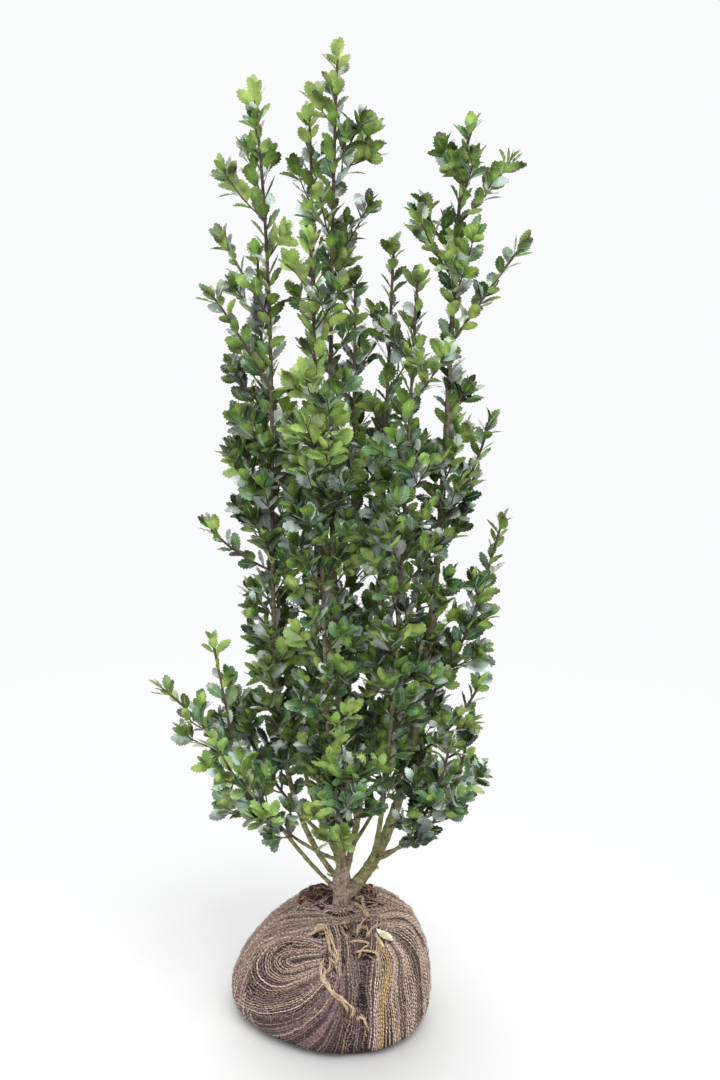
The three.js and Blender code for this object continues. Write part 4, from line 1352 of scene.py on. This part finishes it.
def weave(smooth, wrap):
    """Courses of all threads by tone. Each passes over and under the cross threads in turn."""
    courses = {tone: [] for tone in THREAD_TONES}
    for family, guides in {"loops": LOOPS, "fan": FAN, "band": BAND, "throat": THROAT}.items():
        rise = THREAD["over"] * THREAD["relief"][family]
        over, under = THREAD["lift"] + rise, THREAD["lift"] - rise * THREAD["under"]
        rows, places = threads_between(guides)
        for row, place in zip(rows, places):
            if chance(len(family), place * 13, 3) < THREAD["missing"]:
                continue
            radius = thread_radius(len(family), place * 11)
            phase = int(4 * chance(len(family), place * 17, 4))
            heights = ((over, over, THREAD["lift"], under) * 2)[phase:phase + 4]
            for points in laid(row, THREAD["step"], smooth, wrap, heights, radius):
                courses[thread_tone(family, place)].append((points, [radius] * len(points)))
        longest = max(np.linalg.norm(np.diff(row, axis=0), axis=1).sum() for row in rows)
        for share in np.linspace(0, THREAD["guide_steps"] - 1, round(longest / THREAD["cross_every"])):
            row = rows[:, round(share)]
            for points in laid(row, THREAD["cross_step"], smooth, wrap, (0.0,), THREAD["cross_radius"]):
                courses["cross"].append((points, [THREAD["cross_radius"]] * len(points)))
    for facing in (0, math.pi):
        for tone, spots, heights, radius in [*side_uprights(facing), *side_hoops(facing)]:
            points = [on_wrap(side_spot(smooth, *spot), heights[place % len(heights)], wrap, radius)
                      for place, spot in enumerate(spots)]
            courses[tone].append((points, [radius] * len(points)))
    return courses


def side_spot(smooth, turn, height):
    """The ball's skin at a height, a turn round its axis from the right side."""
    return smooth.tree.ray_cast(Vector((0, 0, height)), Vector((math.cos(turn), math.sin(turn), 0)))[0]


def side_uprights(facing):
    """Threads that climb one side of the ball, the highest at its middle."""
    sides = SIDE_THREADS
    heights = (THREAD["lift"] + THREAD["over"], THREAD["lift"] + THREAD["over"], THREAD["lift"], 0.0)
    for number, offset in enumerate(np.linspace(-sides["turn"], sides["turn"], sides["count"])):
        edge = (abs(offset) / sides["turn"]) ** 2
        top = between(sides["high"], sides["edge_high"], min(1, sides["edge_fall"] * edge))
        sway = sides["sway"] * (chance(facing, number, 1) - 0.5)
        spots = [(facing + offset + sway * math.sin(sides["sway_scale"] * height), height)
                 for height in np.arange(sides["low"], top, sides["step"])]
        phase = number % 4
        tone = thread_tone("band", facing + number)
        yield tone, spots, (heights * 2)[phase:phase + 4], thread_radius(facing, number)


def side_hoops(facing):
    """Cross threads round one side of the ball."""
    for height in np.arange(SIDE_THREADS["low"] * 2, SIDE_THREADS["high"], SIDE_THREADS["hoops_apart"]):
        reach = SIDE_THREADS["turn"] * (1 if height < SIDE_THREADS["edge_high"] else 0.5)
        turns = np.arange(facing - reach, facing + reach, SIDE_THREADS["hoop_step"])
        yield "cross", [(turn, height) for turn in turns], (0.0,), THREAD["cross_radius"]


def solid_piece(name, points, faces, material):
    mesh = bpy.data.meshes.new(name)
    mesh.from_pydata(points, [], faces)
    mesh.polygons.foreach_set("use_smooth", [True] * len(mesh.polygons))
    mesh.materials.append(material)
    return placed(name, mesh)


def make_ball(tree):
    rings = ball_rings()
    points, faces = ringed_solid(rings, (0, 0, 0), (0, 0, BALL["top"]))
    smooth = Skin(points, faces)
    points = crumpled(np.array(points), smooth)
    wrap = Skin([tuple(point) for point in points], faces)
    # The wrap's near-black ground is painted shade between the threads
    piece = solid_piece("burlap_wrap", points.tolist(), faces, rough("burlap_ground", GAP_SHADE_TONE))
    # Faces in the holes take the near-black of painted shade
    piece.data.materials.append(rough("burlap_hole", HOLE_SHADE_TONE))
    middles = np.array([points[list(face)].mean(axis=0) for face in faces]) * (1, -1, 1)
    middles[:, 1] = -abs(middles[:, 1])
    piece.data.polygons.foreach_set("material_index", in_a_hole(photo_pixels(middles)).astype(int))
    finish_piece(piece, ["root_ball"])
    for tone, courses in weave(smooth, wrap).items():
        sides = SIDES["cross" if tone == "cross" else "threads"]
        threads = tubes(f"threads_{tone}", courses, tree, sides, rough(f"jute_{tone}", THREAD_TONES[tone]))
        finish_piece(threads, ["root_ball"])
    for name, strewn in STREWN.items():
        bits = tubes(name, list(strew(strewn, wrap)), tree, strewn.sides, rough(name, strewn.tone))
        finish_piece(bits, ["root_ball"])
    make_jute(smooth, wrap, tree)
    for leaf in FALLEN_LEAVES:
        make_fallen_leaf(leaf, smooth, wrap)


def strew(strewn, wrap):
    """Courses of short, bent fibres that lie all over the wrap and stand off it at one end."""
    for number in range(strewn.count):
        turn = 2 * math.pi * chance(number, 1, strewn.sides)
        height = between(*STREW["heights"], chance(number, 2, strewn.sides))
        level = math.sqrt(1 - height ** 2)
        outwards = Vector((math.cos(turn) * level, math.sin(turn) * level, height))
        root, normal = wrap.tree.find_nearest(Vector(BALL["middle"]) + outwards * STREW["globe"])[:2]
        spin = Matrix.Rotation(2 * math.pi * chance(number, 3, strewn.sides), 3, normal)
        ahead = spin @ normal.orthogonal()
        aside = normal.cross(ahead)
        length = between(*strewn.lengths, chance(number, 4, strewn.sides))
        bend = STREW["bend"] * (chance(number, 5, strewn.sides) - 0.5)
        course = []
        for share in np.linspace(0, 1, STREW["points"]):
            spot = root + (ahead * share + aside * bend * math.sin(math.pi * share)) * length
            point = wrap.lifted(spot, THREAD["over"] + THREAD["radius"] + strewn.stand * share ** 2)
            point.z = max(point.z, strewn.radius)
            course.append(point)
        yield course, [strewn.radius] * len(course)


def make_jute(smooth, wrap, tree):
    """Loose strands, which arch over the wrap from end to end."""
    courses = []
    for strand in JUTE:
        shares = np.linspace(*FIBRES["arch"], len(strand.pixels))
        rises = [math.sin(math.pi * share) ** 0.5 for share in shares]
        guides = [wrap.lifted(smooth.seen(pixel), FIBRES["stand"] + strand.lift * rise)
                  for pixel, rise in zip(strand.pixels, rises)]
        steps = FIBRES["points"] * len(guides)
        taper = np.sin(np.linspace(*FIBRES["taper"], steps) * math.pi) ** 0.5
        radii = list(strand.radius * FIBRES["radius"] * (0.5 + 0.5 * taper))
        middle = [Vector(point) for point in smooth_row(guides, steps)]
        for fibre in range(FIBRES["count"]):
            shift = Vector(FIBRES["shift"]) * fibre
            course = [point + noise.noise_vector(point * FIBRES["turns"] + shift) * FIBRES["apart"]
                      for point in middle]
            courses.append((course, radii))
    strands = tubes("jute_strands", courses, tree, SIDES["jute"], rough("straw", STRAW))
    finish_piece(strands, ["root_ball"])


def make_fallen_leaf(leaf, smooth, wrap):
    foot, tip = (wrap.lifted(smooth.seen(pixel), leaf.lift) for pixel in (leaf.foot, leaf.tip))
    along = tip - foot
    _, normal = wrap.tree.find_nearest((foot + tip) / 2)[:2]
    side = along.cross(normal).normalized()
    face = side.cross(along).normalized()
    place = Matrix((side * along.length * leaf.width, along, face * along.length)).transposed()
    mesh = leaf_mesh(leaf.name, FALLEN_SHAPE)
    mesh.transform(Matrix.Translation(foot) @ place.to_4x4())
    mesh.materials.append(leaf_material(leaf.name, leaf.colour, FALLEN))
    finish_piece(placed(leaf.name, mesh), ["root_ball"])


def fold_point(fold, around, along, proud=0.0):
    """Place on a crumpled fold's skin: around its long axis, and along it from 0 to half a turn."""
    lip = abs(math.sin(fold.lips * around + FOLD["curl"] * math.sin(2 * along)))
    skin = Vector((-math.cos(along), math.sin(along) * math.cos(around), math.sin(along) * math.sin(around)))
    crumple = noise.noise(skin * FOLD["crumple_scale"] + Vector(fold.centre) * FOLD["apart"])
    swell = FOLD["least"] + FOLD["lip"] * lip + FOLD["crumple"] * crumple
    place = Vector(half * swell * share for half, share in zip(fold.size, skin)) + skin * proud
    return Matrix.Rotation(fold.lean, 3, "Z") @ place + Vector(fold.centre)


def fold_threads(fold):
    """Threads that run along a fold, by tone, and wander round it."""
    courses = {"tan": [], "brown": []}
    least, more = FOLD["ends"]
    for number in range(FOLD["threads"]):
        picks = [chance(len(fold.name), number, use) for use in range(1, 6)]
        around = number / FOLD["threads"] * 2 * math.pi
        wander = FOLD["wander"] * (picks[0] - 0.5)
        alongs = np.linspace(least + more * picks[2], math.pi - least - more * picks[3], FOLD["thread_steps"])
        course = [fold_point(fold, around + wander * math.sin(FOLD["winds"] * along + number), along,
                             FOLD["proud"] * picks[1]) for along in alongs]
        tone = "tan" if picks[4] < FOLD["tan_share"] else "brown"
        courses[tone].append((course, [THREAD["radius"] * FOLD["thread_width"]] * len(course)))
    return courses


def make_folds(tree):
    # The folds' near-black cloth is partly painted shade
    cloth = rough("burlap_fold", FOLD_CLOTH_AND_SHADE)
    tones = {tone: rough(f"fold_{tone}", colours) for tone, colours in FOLD_TONES.items()}
    arounds = np.linspace(0, 2 * math.pi, FOLD["sides"], endpoint=False)
    alongs = np.linspace(0, math.pi, FOLD["rings"])
    for fold in FOLDS:
        rings = [[fold_point(fold, around, along) for around in arounds] for along in alongs[1:-1]]
        points, faces = ringed_solid(rings, fold_point(fold, 0, 0), fold_point(fold, 0, math.pi))
        finish_piece(solid_piece(fold.name, points, faces, cloth), [fold.node])
        for tone, courses in fold_threads(fold).items():
            threads = tubes(f"{fold.name}_{tone}_threads", courses, tree, SIDES["fold"], tones[tone])
            finish_piece(threads, [fold.node])


# Bark

def trunk_course():
    curve = trunk_curve()
    shares = np.linspace(0, 1, TRUNK["points"])
    radii = catmull_rom(TRUNK["radii"], shares * (len(TRUNK["radii"]) - 1))[:, 1]
    foot = curve.at(0) - UP * BARK["sunk"]
    return [foot, *(curve.at(share) for share in shares)], [radii[0], *radii]


def bough_course(limb):
    """Bough with a swelling at each of its old leaf nodes."""
    steps = round(limb.curve.length * limb.entry / BARK["step"])
    shares = np.linspace(0, limb.entry, steps)
    points = [limb.curve.at(share) for share in shares]
    radii = []
    for share in shares:
        girth = limb.stem.girth * between(STOUTER.get(limb.stem.name, 1), BOUGH_END_SHARE, share / limb.entry)
        past_node = (share * limb.curve.length / BARK["node_every"] + chance(limb.index, 3, 3)) % 1 - 0.5
        swelling = math.exp(-(past_node * BARK["node_every"] / BARK["node_length"]) ** 2)
        radii.append(girth * (1 + BARK["node_swelling"] * swelling))
    return points, radii


def stub_course(stub, limbs):
    """Short stub on a limb, towards a direction."""
    curve = trunk_curve() if stub.limb == "trunk" else limbs[stub.limb].curve
    root = curve.at(curve.share_at_height(stub.height))
    ahead = unit(np.array(stub.towards, float))
    points = [root + ahead * stub.length * share for share in np.linspace(0, 1, STUB["points"])]
    return points, list(np.linspace(stub.radius * STUB["stouter"], stub.radius, STUB["points"]))


def mixed(tree, share, base, colour):
    """A colour laid over a base by a texture's share."""
    mix = add_node(tree, "ShaderNodeMix", {"data_type": "RGBA", "clamp_factor": True}, Factor=share)
    under, over = (next(s for s in mix.inputs if s.name == name and s.type == "RGBA") for name in "AB")
    fill(tree, under, base)
    fill(tree, over, (*colour, 1))
    return next(s for s in mix.outputs if s.type == "RGBA")


def bark_material(name, stops):
    """Bark coloured by height and by how far aside of the trunk it is, with brown streaks and pores."""
    finish = BARK_FINISH
    material, tree, principled = shader(name, stops[-1][1], finish["rough"],
                                        Specular_IOR_Level=finish["gloss"])
    noises = {use: object_noise(tree, texture) for use, texture in BARK_TEXTURES.items()}
    place = output(add_node(tree, "ShaderNodeTexCoord"), "Object")
    high = output(add_node(tree, "ShaderNodeSeparateXYZ", Vector=place), "Z")
    wandering = summed(tree, noises["wander"], BARK["wander"], high)
    level = add_node(tree, "ShaderNodeMapping", Vector=place, Location=(-TRUNK["foot"][0], 0, 0),
                     Scale=(1, 1, 0))
    aside = distance(tree, output(level, "Vector"))
    greener = summed(tree, aside, BARK["green_aside"], wandering)
    height = add_node(tree, "ShaderNodeMapRange", Value=greener, From_Min=BARK["low"], From_Max=BARK["high"])
    base = ramp(tree, output(height, "Result"), stops)
    streaked = mixed(tree, spread(tree, noises["streaks"], *BARK["streaks"]), base, BARK["streak"])
    pored = mixed(tree, spread(tree, noises["pores"], *BARK["pores"]), streaked, BARK["pore"])
    tone = add_node(tree, "ShaderNodeHueSaturation", Color=pored,
                    Value=spread(tree, noises["blotches"], *BARK["blotches"]))
    feed(tree, principled, Base_Color=output(tone, "Color"))
    add_bump(tree, principled, noises["bump"], finish["bump"], finish["depth"])
    return material


def distance(tree, place):
    """How far a place is from the middle of its coordinates."""
    return output(add_node(tree, "ShaderNodeVectorMath", {"operation": "LENGTH"}, Vector=place), "Value")


def with_relief(point, normal):
    """A point of the bark after its lumps and furrows, which are deeper on the trunk."""
    old = min(1, max(0, (BARK["old_below"] - point.z) / BARK["old_fade"]))
    lumps = noise.noise(point * RELIEF["lump_scale"]) * RELIEF["lumps"]
    grain = Vector(axis * scale for axis, scale in zip(point, RELIEF["grain"]))
    furrows = abs(noise.noise(grain)) * (RELIEF["furrows"] + RELIEF["old_furrows"] * old)
    return point + normal * (lumps - furrows + RELIEF["raised"])


def make_bark(limbs, tree, nodes):
    courses = [trunk_course(), *(bough_course(limb) for limb in limbs.values() if limb.stem.enters)]
    courses += [stub_course(stub, limbs) for stub in STUBS if not stub.on_leafy_stem]
    bark = tubes("bark", courses, tree, SIDES["bark"], bark_material("bark", BARK_COLOURS))
    join = bark.modifiers.new("join", "REMESH")
    join.mode = "VOXEL"
    join.voxel_size = BARK["voxel"]
    bark.modifiers.new("soften", "SMOOTH").iterations = 2
    mesh = evaluated(bark)
    bark.modifiers.clear()
    bark.data = mesh
    moved = [with_relief(vertex.co, vertex.normal) for vertex in mesh.vertices]
    mesh.vertices.foreach_set("co", np.array(moved).ravel())
    mesh.polygons.foreach_set("use_smooth", [True] * len(mesh.polygons))
    finish_piece(bark, nodes)


def make_stems(crown, limbs, tree, nodes):
    """Leafy stems in three stretches, of which each is browner than the one below."""
    stretches = {name: [] for name in STEM_COLOURS}
    courses = crown.stems + [stub_course(stub, limbs) for stub in STUBS if stub.on_leafy_stem]
    for points, radii in courses:
        for name, (low, high, _) in STEM_COLOURS.items():
            inside = [i for i, point in enumerate(points) if low <= point[2] <= high]
            if len(inside) > 1:
                first, last = max(0, inside[0] - 1), inside[-1] + 1
                stretches[name].append((points[first:last], radii[first:last]))
    for name, (_, _, colour) in STEM_COLOURS.items():
        stops = ((0, colour), (1, colour))
        stems = tubes(name, stretches[name], tree, SIDES["stems"], bark_material(name, stops))
        finish_piece(stems, nodes)


def make_cuts(limbs, tree, nodes):
    """Pale cut faces of the pruned stubs."""
    courses = []
    for stub in STUBS:
        if stub.cut:
            points, radii = stub_course(stub, limbs)
            end, ahead = points[-1], unit(points[-1] - points[0])
            course = [end - ahead * CUT["into"], end + ahead * CUT["out"]]
            courses.append((course, [radii[-1] * CUT["width"]] * len(course)))
    cuts = tubes("stub_cuts", courses, tree, SIDES["bark"], rough("cut_wood", CUT_WOOD))
    finish_piece(cuts, nodes)


# Studio

def make_stage():
    """Pale floor that fades into the backdrop's tone far out."""
    turns = np.linspace(0, 2 * math.pi, FLOOR["sides"], endpoint=False)
    rim = [(FLOOR["radius"] * math.cos(turn), FLOOR["radius"] * math.sin(turn), 0) for turn in turns]
    mesh = bpy.data.meshes.new("floor")
    mesh.from_pydata(rim, [], [tuple(range(FLOOR["sides"]))])
    floor = placed("floor", mesh)
    material, tree, principled = shader("floor", FLOOR["colour"], FLOOR["roughness"])
    away = distance(tree, output(add_node(tree, "ShaderNodeTexCoord"), "Object"))
    fade = add_node(tree, "ShaderNodeMapRange", Value=away, From_Min=FLOOR["fade_from"],
                    From_Max=FLOOR["fade_to"])
    backdrop = add_node(tree, "ShaderNodeEmission", Color=(*BACKDROP, 1))
    share = ramp(tree, output(fade, "Result"), FLOOR["fade"])
    inputs = (share, output(principled, "BSDF"), output(backdrop, "Emission"))
    mix = add_node(tree, "ShaderNodeMixShader", None, inputs)
    feed(tree, tree.nodes["Material Output"], Surface=output(mix, "Shader"))
    mesh.materials.append(material)


def make_lights():
    world = bpy.data.worlds.new("studio")
    bpy.context.scene.world = world
    world.use_nodes = True
    background = world.node_tree.nodes["Background"]
    background.inputs["Color"].default_value = (*BACKDROP, 1)
    for light in LIGHTS:
        sun = bpy.data.lights.new(light.name, "SUN")
        sun.angle = light.angle
        sun.energy = light.power
        lamp = placed(light.name, sun)
        lamp.rotation_euler = Vector(light.towards).to_track_quat("-Z", "Y").to_euler()
    bpy.context.scene.view_settings.view_transform = "Standard"


def make_camera():
    camera = bpy.data.cameras.new("camera")
    camera.lens = CAMERA["lens"]
    camera.sensor_width = CAMERA["sensor"]
    holder = placed("camera", camera)
    holder.location = CAMERA["place"]
    holder.rotation_euler = (math.pi / 2 - CAMERA["tilt"], 0, 0)
    bpy.context.scene.camera = holder


# The scene, part by part

make_camera()
LIMBS = grow_limbs()
CROWN = Crown(LIMBS)
CROWN.grow()
FOLIAGE = [f"foliage_{stem.name}" for stem in STEMS]
make_leaves(CROWN, FOLIAGE)
TUBES = tube_tree()
BOUGHS = [f"bough_{stem.name}" for stem in STEMS]
TWIG_BARK = textured("young_bark", TWIG_COLOUR, TWIG_COLOURS, TWIG_SURFACE)
finish_piece(tubes("twigs", CROWN.twigs, TUBES, SIDES["twigs"], TWIG_BARK), FOLIAGE)
make_stems(CROWN, LIMBS, TUBES, FOLIAGE)
make_bark(LIMBS, TUBES, ["trunk", *BOUGHS])
make_cuts(LIMBS, TUBES, FOLIAGE)
make_ball(TUBES)
make_folds(TUBES)
make_stage()
make_lights()
